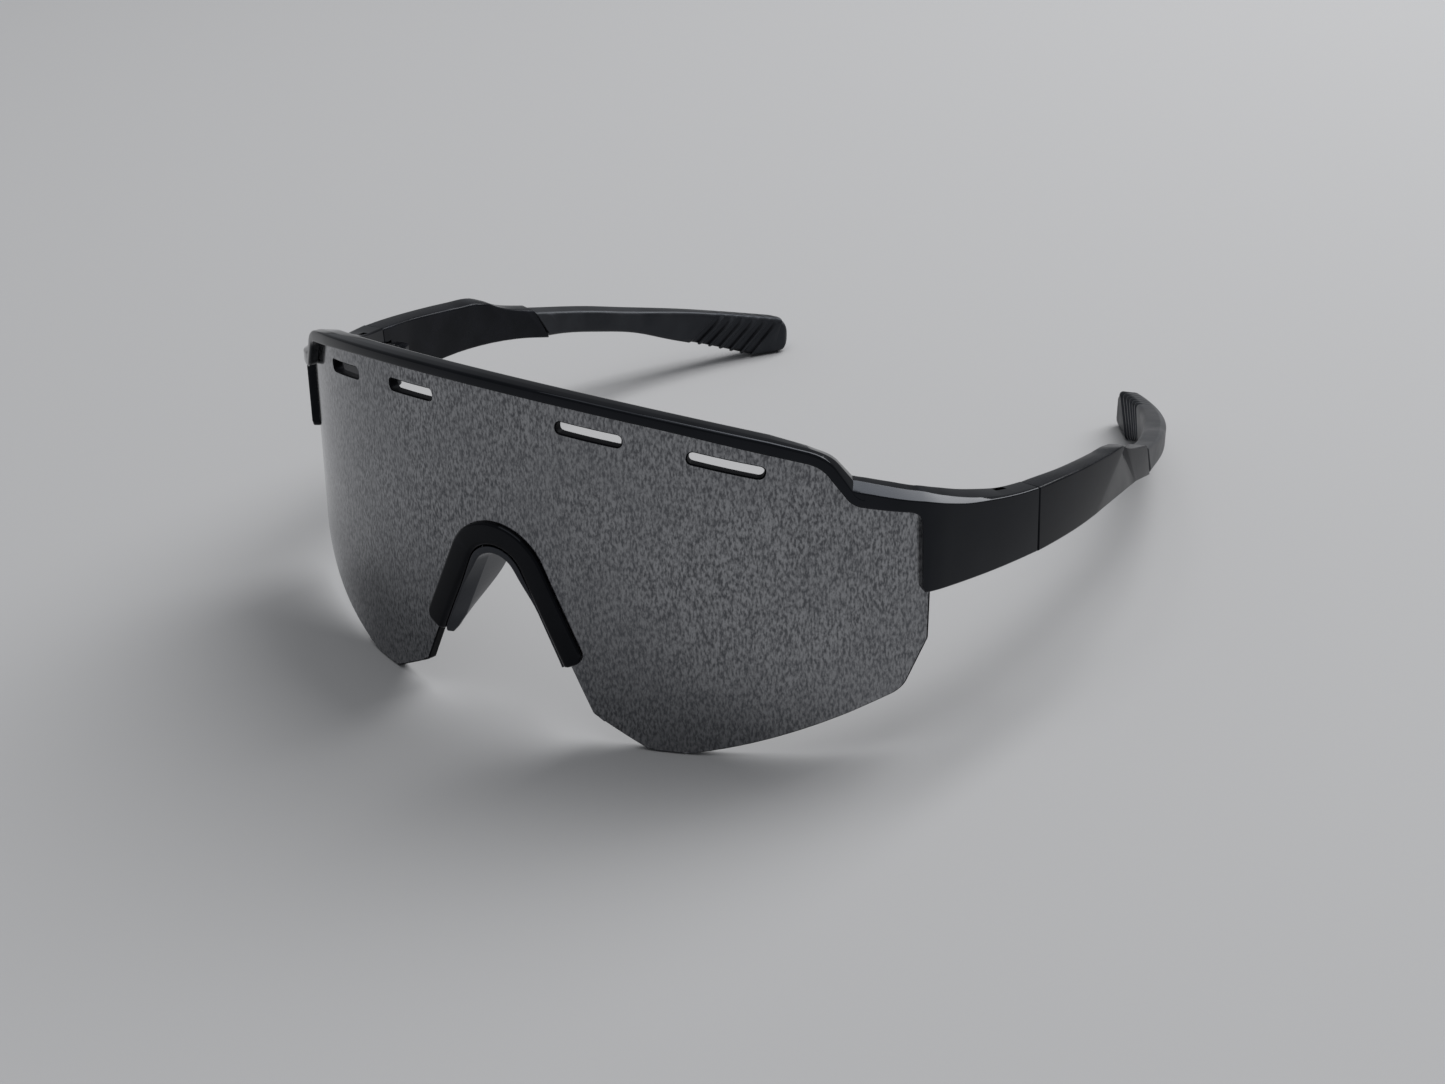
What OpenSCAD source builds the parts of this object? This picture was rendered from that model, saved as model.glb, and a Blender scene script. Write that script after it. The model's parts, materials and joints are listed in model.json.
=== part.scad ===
// Wrap-around sport sunglasses: one-piece shield lens hung from a half-rim brow frame, with folding temples.
// Everything is built with the lens upright, its foot at z = 0 and its apex at y = 0, front towards -Y.
// The finished pieces are then leaned back until the lens feet and the temple tips stand on z = 0.

/* [Lens] */
// Radius of the lens's front face
lens_r = 85; // [80:0.5:95]
// Thickness of the lens
lens_t = 1.8; // [1.6:0.1:2]
// Half of the lens's width, to its side edge
lens_half_w = 63.7; // [63:0.1:65]
// Height of the brow line over the foot, at the middle
brow_z = 58.9; // [56:0.1:62]
// Drop of the brow line towards the sides, as an angle
brow_drop = 22.7; // [20:0.5:28]
// Where the flat foot of the lens starts
foot_x0 = 26.5; // [24:0.5:28]
// Where the flat foot of the lens ends
foot_x1 = 32.5; // [31:0.5:35]
// Height of the lower corner beside the nose
nose_corner_z = 5; // [3:0.5:7]
// Radius of the lens's outer bottom edge
sweep_r = 97; // [90:1:120]
// Angle at which the outer bottom edge leaves the foot
sweep_start = 13; // [11:0.5:15]
// Where the outer bottom edge meets the slanted side
sweep_end_x = 61; // [58:0.5:61.5]
// Height where the slanted side turns upright
side_corner_z = 20.3; // [16:0.1:24]
// Rounding of the lens's lower corners
lens_corner_r = 1.4; // [0.8:0.1:2]

/* [Vents] */
// Height of a vent slot
vent_h = 1.9; // [1.5:0.1:2.5]
// Distance from the brow line down to the vents
vent_gap = 3; // [2.4:0.1:4]
// Inner vent: distance of its near end from the middle
vent_in_x = 12.3; // [10:0.1:14]
// Outer vent: distance of its near end from the middle
vent_out_x = 32.7; // [30:0.1:35]
// Length of a vent slot, seen from the front
vent_len = 10.7; // [8:0.1:12]

/* [Brow frame] */
// Height of the front rim
rim_h = 2.3; // [2.2:0.1:2.8]
// How far the rim stands in front of the lens at the middle
rim_proud = 1.2; // [0.9:0.1:1.6]
// How far the rim stands in front of the lens at its ends
rim_proud_end = 2; // [1.7:0.1:2.6]
// Wall of the frame behind the lens
rim_back = 0.8; // [0.7:0.1:1.2]
// Depth of the groove that holds the lens
groove = 1; // [0.8:0.1:1.1]
// Clearance around the lens in its grooves
lens_gap = 0.06; // [0.04:0.01:0.1]
// Where the brow line turns down into the step
step_x = 50.7; // [48:0.1:52]
// Where the step ends in the lower run
run_x = 54.7; // [53.9:0.1:56]
// Height of the lower run at the step
run_z = 45.2; // [43:0.1:47]
// Fall of the lower run to the side
run_drop = 1.8; // [1:0.1:2.4]
// Where the side strip of the frame starts on the lens
strip_x = 62.2; // [61.6:0.1:62.6]

/* [Arms] */
// Plan radius of the arm's outer face
arm_r = 142; // [120:1:180]
// Angle at which the arm leaves the lens, from straight back
arm_start = 22.3; // [20:0.1:25]
// Length of the arm from the lens to the hinge
arm_len = 26.8; // [24:0.1:30]
// How far the arm's top stands over the hinge's top at its waist
arm_rise = 1.8; // [1:0.1:2.6]
// Distance of that waist behind the arm's front
arm_waist = 8.5; // [7:0.1:11]
// Lower edge of the arm at the lens
arm_foot_z = 28.8; // [27:0.1:30]

/* [Hinges] */
// Thickness of arm and temple at the hinge
hinge_t = 4.2; // [3.8:0.1:4.8]
// Top of arm and temple at the hinge
hinge_top_z = 40.6; // [39.5:0.1:42]
// Height of arm and temple at the hinge
hinge_h = 12.4; // [12:0.1:13.6]
// Radius of the hinge knuckles
knuckle_r = 2.5; // [2.4:0.1:2.8]
// Height of the temple's knuckle
knuckle_h = 3.8; // [3:0.1:4.4]
// How far the hinge axis lies inside the inner face
axis_in = 0.6; // [0.4:0.1:1]
// Running gap between arm and temple
fold_gap = 0.25; // [0.2:0.01:0.3]
// Diameter of the hinge screw
screw_d = 1.6; // [1.4:0.1:1.8]
// Diameter of the screw head
screw_head_d = 3.4; // [3:0.1:3.6]
// Height of the screw head
screw_head_h = 0.9; // [0.7:0.1:1.1]
// Width of the hinge nut across its flats
nut_w = 3.2; // [3:0.1:3.4]
// Height of the hinge nut
nut_h = 1.3; // [1:0.1:1.5]

/* [Temples] */
// Plan radius of the temple's bow
temple_r = 178; // [165:1:220]
// Length of the temple from hinge to grip
temple_len = 50.4; // [49:0.1:56]
// Outward angle of the temple at the hinge
temple_splay = 6.8; // [5:0.1:8]
// Thickness of the temple
temple_t = 3.8; // [3.4:0.1:4.2]
// Distance from the hinge back to the hump
hump_at = 26; // [22:0.5:30]
// Fall of the top edge from hinge to hump
hump_fall = 3.7; // [3:0.1:5]
// Height of the temple at the hump
hump_h = 9.8; // [9:0.1:11]
// Distance from the hinge back to the waist before the grip
waist_at = 46; // [43:0.5:48]
// Fall of the top edge from hinge to waist
waist_fall = 10.6; // [10:0.1:11.4]
// Height of the temple at the waist
waist_h = 7.4; // [7:0.1:8]
// Fall of the top edge from hinge to grip
seam_fall = 11.3; // [11:0.1:12.4]
// Height of temple and grip where they meet
seam_h = 7.1; // [6.6:0.1:7.6]

/* [Ear grips] */
// Plan radius of the grip's inward hook
grip_r = 128; // [112:1:145]
// Length of the grip
grip_len = 65.6; // [60:0.1:70]
// Thickness of the grip
grip_t = 4.4; // [4.2:0.1:5]
// Height of the grip at its tip
tip_h = 7.2; // [6:0.1:8]
// Rounding of the tip's upper corner
tip_round = 1.6; // [1:0.1:3]
// Rounding of the tip's lower corner
tip_heel = 3; // [1.5:0.1:4]
// Length of the flat that stands on the table
tip_flat = 7; // [5:0.1:9]
// How far the grip's underside is arched
grip_arch = 1.6; // [0.5:0.1:2.4]
// Length of the temple's tongue inside the grip
tongue_len = 40; // [30:1:44]
// Wall of rubber around the tongue
grip_wall = 1.2; // [1:0.1:1.4]
// Clearance around the tongue
tongue_gap = 0.08; // [0.05:0.01:0.12]
// Number of grooves between the ribs on the grip's inner face
rib_grooves = 6; // [4:1:8]
// Spacing of the ribs
rib_pitch = 2.9; // [2.4:0.1:3.2]
// Width of a rib
rib_w = 0.9; // [0.6:0.1:1.2]
// Depth of the grooves between the ribs
rib_depth = 0.5; // [0.3:0.1:0.6]
// Distance from the tip to the middle of the first groove
rib_start = 6.8; // [6.4:0.1:8]
// Lean of the ribs towards the tip
rib_lean = 40; // [30:1:45]

/* [Nose piece] */
// Height of the centre of the nose arch
nose_z = 25.9; // [24:0.1:27]
// Radius of the nose cut in the lens
nose_r = 6.7; // [6:0.1:7.5]
// Angle of the nose legs from upright
nose_angle = 25.3; // [22:0.1:28]
// Width of the bridge's flanges on the lens
bridge_cover = 3.05; // [2.4:0.05:3.6]
// Thickness of the bridge around the lens edge
bridge_web = 1.1; // [0.9:0.1:1.4]
// Thickness of the bridge's flanges
bridge_wall = 0.8; // [0.7:0.1:1.2]
// Length of the bridge's straight legs
bridge_leg = 17.3; // [15:0.1:19]
// Thickness of the soft saddle
saddle_t = 1.5; // [1.4:0.1:1.8]
// How far the saddle reaches back from the lens
saddle_back = 9; // [7:0.1:11]
// Height of the saddle's rounded lower corner
saddle_taper = 4; // [2:0.1:6]

/* [Stance] */
// How far the lens leans back when the glasses stand on a table
lean = 2.8; // [2:0.1:4]

/* [Hidden] */
$fn = 96;
// Running clearance of the screw in the temple, and its seat in frame and nut
screw_run = 0.05;
screw_seat = 0.03;
// Reach of cutting bodies beyond what they cut
far = 200;
cut = 1;
// Steps of the brow line, a rounded corner, the nose arch, the arm and the lens's lower sweep
brow_steps = 8;
corner_steps = 6;
nose_steps = 20;
arm_steps = 10;
sweep_steps = 4;
// Fall of the lens's upper corner inside the frame
lens_ear = 3;
// Roundings of the step: outer corner, hollow corner and the least that a hollow keeps
step_round = 5;
run_round = 2.5;
hollow_round = 0.6;
// Rounding of the temple's side view at hump and waist
profile_round = 25;
// Length of the side corner's last straight on the lens's lower edge
sweep_join = 6;
// How far temple, grip and tongue are drawn past the seam before they are cut there
seam_reach = 5;
tongue_root = 3;
// How far the grip's side view is drawn past the tip
tip_past = 0.5;
// How far the hinge stack stays below the arm's top, out of sight from the front, and above its bottom
stack_top_inset = 3.1;
stack_low_inset = 0.4;
// Length of a knuckle's web, and of its straight heel
web_len = 6.5;
web_heel = 0.8;

lens_back_r = lens_r - lens_t;

// A point in plan at radius r and angle a about the lens's axis
function on_lens(r, a) = [r * sin(a), lens_r - r * cos(a)];
// Depth of the lens's front face behind its apex, at x
function lens_y(x) = lens_r - sqrt(pow(lens_r, 2) - pow(x, 2));
function brow_line(x) = brow_z - tan(brow_drop) * lens_y(x);
function along(a) = [sin(a), cos(a)];
function inward(a) = [-cos(a), sin(a)];
function unit(v) = v / norm(v);
function left_of(v) = [-v[1], v[0]];

// Polyline moved sideways by d, to the left of its direction
function moved(path, d) = [
    for (i = [0:len(path) - 1])
        let (
            before = unit(i == 0 ? path[1] - path[0] : path[i] - path[i - 1]),
            after = unit(i == len(path) - 1 ? path[i] - path[i - 1] : path[i + 1] - path[i]),
            n0 = left_of(before),
            n1 = left_of(after)
        )
        path[i] + d * (n0 + n1) / (1 + n0 * n1)
];
// One rounded corner of an outline
function corner(a, b, c, r) =
    let (
        u = unit(a - b),
        v = unit(c - b),
        half = acos(u * v) / 2,
        middle = b + unit(u + v) * r / sin(half),
        p = b + u * r / tan(half) - middle,
        q = b + v * r / tan(half) - middle,
        start = atan2(p[1], p[0]),
        raw = atan2(q[1], q[0]) - start,
        turn = raw > 180 ? raw - 360 : raw < -180 ? raw + 360 : raw
    )
    [for (i = [0:corner_steps]) middle + r * [cos(start + turn * i / corner_steps), sin(start + turn * i / corner_steps)]];
// Outline with a radius at each point; a radius of 0 keeps the point sharp
function rounded(pts, radii) = [
    for (i = [0:len(pts) - 1])
        let (
            n = len(pts),
            here = pts[i],
            arc = corner(pts[(i + n - 1) % n], here, pts[(i + 1) % n], radii[i])
        )
        each (radii[i] > 0 ? arc : [here])
];
function mirrored(pts) = [for (i = [len(pts) - 1:-1:0]) [-pts[i][0], pts[i][1]]];

// Stance: the lens stands on the back corner of its foot, the tips on the line through it
foot_y = lens_r - sqrt(pow(lens_back_r, 2) - pow(foot_x1, 2));
function table_z(y) = tan(lean) * (y - foot_y);

// Plan of the arm: radial start on the lens, bend, hinge
strip_a = asin(strip_x / lens_r);
arm_front = on_lens(lens_r + rim_proud_end, strip_a);
arm_c = arm_front + arm_r * inward(arm_start);
arm_end = arm_start - arm_len / arm_r * 180 / PI;
hinge_out = arm_c - arm_r * inward(arm_end);
hinge_y = hinge_out[1];
hinge_in = hinge_out - [hinge_t, 0];
axis_x = hinge_in[0] - axis_in;
arm_back = on_lens(lens_back_r - rim_back, strip_a);

// Rim: a cylinder that stands rim_proud ahead at the middle and meets the arm's front
rim_c = (arm_front * arm_front - pow(rim_proud, 2)) / (2 * (arm_front[1] + rim_proud));
rim_r = rim_c + rim_proud;

// Temple and grip in plan: two arcs that meet smoothly at the seam
temple_turn = temple_len / temple_r * 180 / PI;
temple_c = hinge_out + temple_r * inward(temple_splay);
seam_a = temple_turn - temple_splay;
seam_out = temple_c + temple_r * [cos(seam_a), sin(seam_a)];
grip_c = seam_out - grip_r * [cos(seam_a), sin(seam_a)];
tip_a = seam_a + grip_len / grip_r * 180 / PI;
tip_out = grip_c + grip_r * [cos(tip_a), sin(tip_a)];
tongue_a = seam_a + tongue_len / grip_r * 180 / PI;
root_a = tongue_root / grip_r * 180 / PI;

// Side view: top and bottom of the temple and grip, as points (y, z)
hinge_foot_z = hinge_top_z - hinge_h;
seam_y = seam_out[1];
seam_top = [seam_y, hinge_top_z - seam_fall];
seam_low = seam_top - [0, seam_h];
tip_y = tip_out[1];
tip_top = [tip_y, table_z(tip_y) + tip_h];
flat_y = tip_y - tip_flat;
arch_at = (seam_low + [flat_y, table_z(flat_y)]) / 2 + [0, grip_arch];

// Heights of the hinge stack: lower lug, temple knuckle, upper lug
lug_h = (hinge_h - stack_top_inset - stack_low_inset - knuckle_h) / 2 - fold_gap;
lug_low_z = hinge_foot_z + stack_low_inset;
knuckle_z = lug_low_z + lug_h + fold_gap;
lug_top_z = knuckle_z + knuckle_h + fold_gap;
stack_top_z = lug_top_z + lug_h;

// Nose: three lines that run parallel, for the bridge's inside, the lens edge and the bridge's outside
bridge_in_r = nose_r - bridge_web;
bridge_out_r = nose_r + bridge_cover;
saddle_in_r = bridge_in_r - saddle_t;
saddle_y0 = -bridge_wall;
saddle_y1 = lens_t + saddle_back;

// Places the upright model on the table, with the box's middle over the origin
front_y = min(-rim_proud * cos(lean) + brow_z * sin(lean), -bridge_wall * cos(lean) + nose_z * sin(lean));
rear_y = tip_y * cos(lean) + (table_z(tip_y) + tip_h / 2) * sin(lean);
module standing() {
    translate([0, -(front_y + rear_y) / 2, foot_y * sin(lean)])
        rotate([-lean, 0, 0])
            children();
}
// Copies for the wearer's left (+X) or right (-X)
module side(s) {
    if (s > 0) children();
    else mirror([1, 0, 0]) children();
}
// Front view (x, z) drawn through the front half of the lens's cylinder
module through_front() {
    translate([0, lens_r, 0])
        rotate([90, 0, 0])
            linear_extrude(far)
                children();
}
// Side view (y, z) drawn through the whole width of one side
module through_side() {
    rotate([90, 0, 90])
        linear_extrude(far)
            children();
}
// Ring about the lens's axis
module lens_ring(inner, outer) {
    translate([0, lens_r, -far])
        difference() {
            cylinder(r = outer, h = 2 * far);
            translate([0, 0, -cut])
                cylinder(r = inner, h = 2 * far + 2 * cut);
        }
}

// Opening of the frame over the lens, from the middle outward
function opening() = concat(
    [for (i = [0:brow_steps]) let (x = i * (step_x - step_round) / brow_steps) [x, brow_line(x)]],
    [[step_x, brow_line(step_x)], [run_x, run_z], [strip_x, run_z - run_drop]]
);
// The opening's line moved outward by d, with its step rounded
function rim_line(d) =
    let (
        line = moved(opening(), d),
        n = len(line),
        convex = corner(line[n - 4], line[n - 3], line[n - 2], step_round + d),
        hollow = corner(line[n - 3], line[n - 2], line[n - 1], max(hollow_round, run_round - d))
    )
    concat([for (i = [0:n - 5]) line[i]], convex, hollow, [line[n - 1]]);
function sweep_z(x) =
    let (c = foot_x1 - sweep_r * sin(sweep_start), s = (x - c) / sweep_r)
    sweep_r * (cos(sweep_start) - sqrt(1 - s * s));
nose_corner_x = (nose_r + (nose_z - nose_corner_z) * sin(nose_angle)) / cos(nose_angle);
// Lower edge of the lens from its side, moved outward by gap, to the middle
low_corner = [sweep_end_x, sweep_z(sweep_end_x)];
sweep_x = sweep_end_x - sweep_join;
function lens_low(gap) =
    let (side_x = lens_half_w + gap, side_corner = [side_x, side_corner_z])
    concat(
        corner([side_x, run_z], side_corner, low_corner, lens_corner_r),
        corner(side_corner, low_corner, [sweep_x, sweep_z(sweep_x)], lens_corner_r),
        [for (i = [sweep_steps:-1:0]) let (x = foot_x1 + i * (sweep_x - foot_x1) / sweep_steps) [x, sweep_z(x)]],
        [[foot_x0, 0], [nose_corner_x, nose_corner_z]]
    );
// Half outline of the lens, its upper and side edges moved outward by gap
function lens_half(gap) =
    let (
        top = rim_line(groove + gap),
        n = len(top),
        ear = top[n - 1] - groove * unit(top[n - 1] - top[n - 2])
    )
    concat(
        [for (i = [0:n - 2]) top[i]],
        [ear, [lens_half_w + gap, ear[1] - lens_ear]],
        lens_low(gap)
    );
module lens_plate(gap) {
    half = lens_half(gap);
    intersection() {
        lens_ring(lens_back_r - gap, lens_r + gap);
        through_front()
            polygon(concat(half, mirrored(half)));
    }
}
// Line along the nose cut at distance r from the arch's centre, from one leg's end over the arch to the other
function nose_line(r, leg) =
    let (
        end = [r * cos(nose_angle) + leg * sin(nose_angle), nose_z + r * sin(nose_angle) - leg * cos(nose_angle)],
        sweep = 180 - 2 * nose_angle
    )
    concat(
        [end],
        [for (i = [0:nose_steps]) let (a = nose_angle + sweep * i / nose_steps) [r * cos(a), nose_z + r * sin(a)]],
        [[-end[0], end[1]]]
    );
// Band between two such lines, cut square at its ends
module nose_band(inner, outer, leg) {
    line = nose_line(inner, leg);
    polygon(concat(nose_line(outer, leg), [for (i = [len(line) - 1:-1:0]) line[i]]));
}
// A vent slot with round ends, its upper edge parallel to the brow line
module vent(x) {
    fall = atan2(brow_line(x) - brow_line(x + vent_len), vent_len);
    translate([x + vent_len / 2, (brow_line(x) + brow_line(x + vent_len)) / 2 - vent_gap - vent_h / 2])
        rotate(-fall) {
            square([vent_len - vent_h, vent_h], center = true);
            for (s = [-1, 1])
                translate([s * (vent_len - vent_h) / 2, 0])
                    circle(d = vent_h);
        }
}

module shield_lens() {
    color("dimgray")
    standing()
    difference() {
        lens_plate(0);
        through_front() {
            polygon(nose_line(nose_r, 2 * nose_z));
            for (s = [0, 1])
                mirror([s, 0]) {
                    vent(vent_in_x);
                    vent(vent_out_x);
                }
        }
    }
}

// Side view of the frame's arm
module arm_profile() {
    polygon([[0, arm_foot_z], [hinge_y - arm_waist, arm_foot_z], [hinge_y, hinge_foot_z], [hinge_y, hinge_top_z],
             [arm_front[1] + arm_waist, hinge_top_z + arm_rise], [arm_front[1] - arm_waist / 2, run_z + arm_rise],
             [0, run_z + arm_rise]]);
}
// A hinge knuckle with the web that ties it to the part in front of (-1) or behind (+1) the seam
module knuckle(z, h, s) {
    root_x = axis_in + hinge_t / 2;
    translate([axis_x, hinge_y, z]) {
        cylinder(r = knuckle_r, h = h);
        linear_extrude(h)
            polygon([[-knuckle_r, 0], [-knuckle_r, s * web_heel], [0, s * web_len], [root_x, s * web_len], [root_x, 0]]);
    }
}
// Bore for the screw through a hinge part
module screw_bore(clearance) {
    translate([axis_x, hinge_y, hinge_foot_z - cut])
        cylinder(d = screw_d + 2 * clearance, h = stack_top_z - hinge_foot_z + cut + clearance);
}
// Room in which the other part's knuckle turns, from height z0 to z1
module swing_room(z0, z1) {
    translate([axis_x, hinge_y, z0 - fold_gap])
        cylinder(r = knuckle_r + fold_gap, h = z1 - z0 + 2 * fold_gap);
}
// Nut moulded into the upper lug
module hex_nut(clearance) {
    translate([axis_x, hinge_y, stack_top_z - nut_h - clearance])
        cylinder(d = (nut_w + 2 * clearance) / cos(30), h = nut_h + 2 * clearance, $fn = 6);
}
// Screw head sunk into the lower lug; its seat is open below, where the screw goes in
module screw_head(clearance) {
    below = clearance > 0 ? cut : 0;
    translate([axis_x, hinge_y, lug_low_z - below])
        cylinder(d = screw_head_d + 2 * clearance, h = screw_head_h + clearance + below);
}
module arm() {
    // Outer and inner face follow one arc; the inner one starts behind the lens
    turn = arm_start - arm_end;
    seam = [0, fold_gap / 2];
    intersection() {
        linear_extrude(far)
            polygon(concat(
                [arm_back],
                [for (i = [0:arm_steps - 1]) arm_c - arm_r * inward(arm_start - turn * i / arm_steps)],
                [hinge_out - seam, hinge_in - seam],
                [for (i = [arm_steps - 1:-1:2]) arm_c - (arm_r - hinge_t) * inward(arm_start - turn * i / arm_steps)]
            ));
        through_side() arm_profile();
    }
}
module hinged_arm() {
    difference() {
        union() {
            difference() {
                arm();
                swing_room(knuckle_z, knuckle_z + knuckle_h);
            }
            knuckle(lug_low_z, lug_h, -1);
            knuckle(lug_top_z, lug_h, -1);
        }
        screw_bore(screw_seat);
        screw_head(screw_seat);
        hex_nut(screw_seat);
    }
}
module front_rim() {
    half = concat(rim_line(rim_h), [for (i = [len(rim_line(0)) - 1:-1:0]) rim_line(0)[i]]);
    intersection() {
        difference() {
            translate([0, rim_c, 0])
                cylinder(r = rim_r, h = far);
            translate([0, lens_r, -cut])
                cylinder(r = lens_back_r - rim_back, h = far + 2 * cut);
        }
        through_front()
            polygon(concat(half, mirrored(half)));
    }
}

module brow_frame() {
    color("black")
    standing()
    difference() {
        union() {
            front_rim();
            for (s = [-1, 1])
                side(s) hinged_arm();
        }
        lens_plate(lens_gap);
    }
}

module nose_bridge() {
    color("black")
    standing()
    difference() {
        intersection() {
            lens_ring(lens_back_r - bridge_wall, lens_r + bridge_wall);
            through_front()
                nose_band(bridge_in_r, bridge_out_r, bridge_leg);
        }
        intersection() {
            lens_ring(lens_back_r - lens_gap, lens_r + lens_gap);
            through_front()
                nose_band(nose_r - lens_gap, bridge_out_r + cut, bridge_leg + cut);
        }
    }
}

// Soft saddle inside the bridge, its lower corners cut away towards the face
module nose_saddle() {
    foot_z = nose_line(bridge_in_r, bridge_leg)[0][1] - cut;
    reach = [[saddle_y0, foot_z], [saddle_y1 / 3, foot_z], [saddle_y1, foot_z + cut + saddle_taper],
             [saddle_y1, far], [saddle_y0, far]];
    color("black")
    standing()
    intersection() {
        through_front()
            nose_band(saddle_in_r, bridge_in_r - lens_gap, bridge_leg);
        translate([-far / 2, 0, 0])
            through_side() polygon(reach);
    }
}

// Plan of an arc strip between two angles about a centre, from depth d0 to d1 under its outer face
module arc_strip(centre, r, d0, d1, a0, a1) {
    reach = 2 * r;
    translate(centre)
        intersection() {
            difference() {
                circle(r = r - d0);
                circle(r = r - d1);
            }
            polygon([[0, 0], reach * [cos(a0), sin(a0)], reach * [cos((a0 + a1) / 2), sin((a0 + a1) / 2)],
                     reach * [cos(a1), sin(a1)]]);
        }
}
// The point at distance seam_reach past b, on the line from a
function past(a, b) = b + seam_reach * unit(b - a);
// Side view of the temple, from the hinge to past the seam
module temple_profile() {
    y0 = hinge_y + fold_gap / 2;
    hump = [y0 + hump_at, hinge_top_z - hump_fall];
    waist = [y0 + waist_at, hinge_top_z - waist_fall];
    waist_low = waist - [0, waist_h];
    polygon(rounded(
        [[y0, hinge_top_z], [y0, hinge_foot_z], hump - [0, hump_h], waist_low,
         past(waist_low, seam_low), past(waist, seam_top), waist, hump],
        [0, 0, profile_round, profile_round, 0, 0, profile_round, profile_round]
    ));
}
// Side view of the grip, its long edges moved inward by inset
module grip_profile(inset) {
    end_y = tip_y + tip_past;
    low = moved([past(arch_at, seam_low), arch_at, [flat_y, table_z(flat_y)], [end_y, table_z(end_y)]], inset);
    high = moved([past(tip_top, seam_top), tip_top + [tip_past, 0]], -inset);
    heel = corner(low[2], low[3], high[1], tip_heel);
    polygon(concat([for (i = [0:2]) low[i]], heel, corner(low[3], high[1], high[0], tip_round), [high[0]]));
}
module temple_shape() {
    difference() {
        union() {
            difference() {
                intersection() {
                    linear_extrude(far)
                        arc_strip(temple_c, temple_r, 0, temple_t, -2 * temple_splay, seam_a);
                    through_side() temple_profile();
                }
                swing_room(hinge_foot_z - cut, lug_low_z + lug_h);
                swing_room(lug_top_z, stack_top_z);
            }
            knuckle(knuckle_z, knuckle_h, 1);
            tongue(0);
        }
        screw_bore(screw_run);
    }
}
// Tongue of the temple inside the grip, grown by gap
module tongue(gap) {
    inset = grip_wall - gap;
    intersection() {
        linear_extrude(far)
            arc_strip(grip_c, grip_r, inset, grip_t - inset, seam_a - root_a, tongue_a + gap / grip_r * 180 / PI);
        through_side() grip_profile(inset);
    }
}
module grip_shape() {
    difference() {
        intersection() {
            linear_extrude(far)
                arc_strip(grip_c, grip_r, 0, grip_t, seam_a, tip_a);
            through_side() grip_profile(0);
        }
        tongue(tongue_gap);
        for (i = [0:rib_grooves - 1])
            rib_groove(tip_a - (rib_start + i * rib_pitch) / grip_r * 180 / PI);
    }
}
// A slanting groove in the grip's inner face at angle a
module rib_groove(a) {
    r = grip_r - grip_t;
    p = grip_c + r * [cos(a), sin(a)];
    translate([p[0], p[1], table_z(p[1]) + tip_h / 2])
        rotate([0, 0, a])
            rotate([-rib_lean, 0, 0])
                cube([2 * rib_depth, (rib_pitch - rib_w) * cos(rib_lean), 2 * tip_h], center = true);
}

module temple_left() {
    color("black") standing() side(1) temple_shape();
}
module temple_right() {
    color("black") standing() side(-1) temple_shape();
}
module ear_grip_left() {
    color("dimgray") standing() side(1) grip_shape();
}
module ear_grip_right() {
    color("dimgray") standing() side(-1) grip_shape();
}
module screw_shape() {
    screw_head(0);
    translate([axis_x, hinge_y, lug_low_z + screw_head_h])
        cylinder(d = screw_d, h = stack_top_z - lug_low_z - screw_head_h);
}
module nut_shape() {
    difference() {
        hex_nut(0);
        screw_bore(screw_seat);
    }
}
module hinge_screw_left() {
    color("silver") standing() side(1) screw_shape();
}
module hinge_screw_right() {
    color("silver") standing() side(-1) screw_shape();
}
module hinge_nut_left() {
    color("silver") standing() side(1) nut_shape();
}
module hinge_nut_right() {
    color("silver") standing() side(-1) nut_shape();
}

shield_lens();
brow_frame();
nose_bridge();
nose_saddle();
temple_left();
temple_right();
ear_grip_left();
ear_grip_right();
hinge_screw_left();
hinge_screw_right();
hinge_nut_left();
hinge_nut_right();
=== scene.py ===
import json
import math

import bmesh
import bpy
from mathutils import Matrix, Vector


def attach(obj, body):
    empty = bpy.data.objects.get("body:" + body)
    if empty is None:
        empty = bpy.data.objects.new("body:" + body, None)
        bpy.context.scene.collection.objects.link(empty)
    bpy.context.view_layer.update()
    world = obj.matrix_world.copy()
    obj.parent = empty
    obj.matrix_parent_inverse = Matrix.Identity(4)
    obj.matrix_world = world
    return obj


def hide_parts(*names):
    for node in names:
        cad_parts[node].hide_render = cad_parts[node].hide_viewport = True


# Wrap-around shield sunglasses on a pale floor. Every shape is worked out in millimetres in the upright
# lens's frame (x to the wearer's left, y back from the lens's apex, z up from its foot) and then stood on
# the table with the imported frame's own hinge axis.

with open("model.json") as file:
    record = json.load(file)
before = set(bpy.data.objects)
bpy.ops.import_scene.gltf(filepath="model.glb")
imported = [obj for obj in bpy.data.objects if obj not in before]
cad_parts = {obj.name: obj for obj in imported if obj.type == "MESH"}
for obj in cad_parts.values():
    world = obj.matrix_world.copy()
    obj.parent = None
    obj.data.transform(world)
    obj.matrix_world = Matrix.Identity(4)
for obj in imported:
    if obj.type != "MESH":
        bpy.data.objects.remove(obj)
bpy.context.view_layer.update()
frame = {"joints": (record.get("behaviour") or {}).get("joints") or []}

# Lens: bent plate, brow line, lower outline and vents
LENS_R = 85.0
LENS_T = 1.8
LENS_HALF_W = 63.7
LENS_EDGE = 0.22
LENS_EAR = 3.0
BROW_Z = 58.9
BROW_DROP = math.tan(math.radians(22.7))
FOOT_X0, FOOT_X1 = 26.5, 32.5
NOSE_CORNER_Z = 5.0
SWEEP_R, SWEEP_START, SWEEP_END_X = 97.0, math.radians(13), 61.0
SWEEP_JOIN = 6.0
SIDE_CORNER_Z = 20.3
LOW_CORNER_R, SIDE_CORNER_R, NOSE_CORNER_R = 4.0, 2.4, 1.4
FOOT_CORNER_R = 2.0
VENT_H, VENT_LEN, VENT_GAP = 1.9, 10.7, 3.0
VENT_XS = (12.3, 32.7)
VENT_R = 0.75
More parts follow.
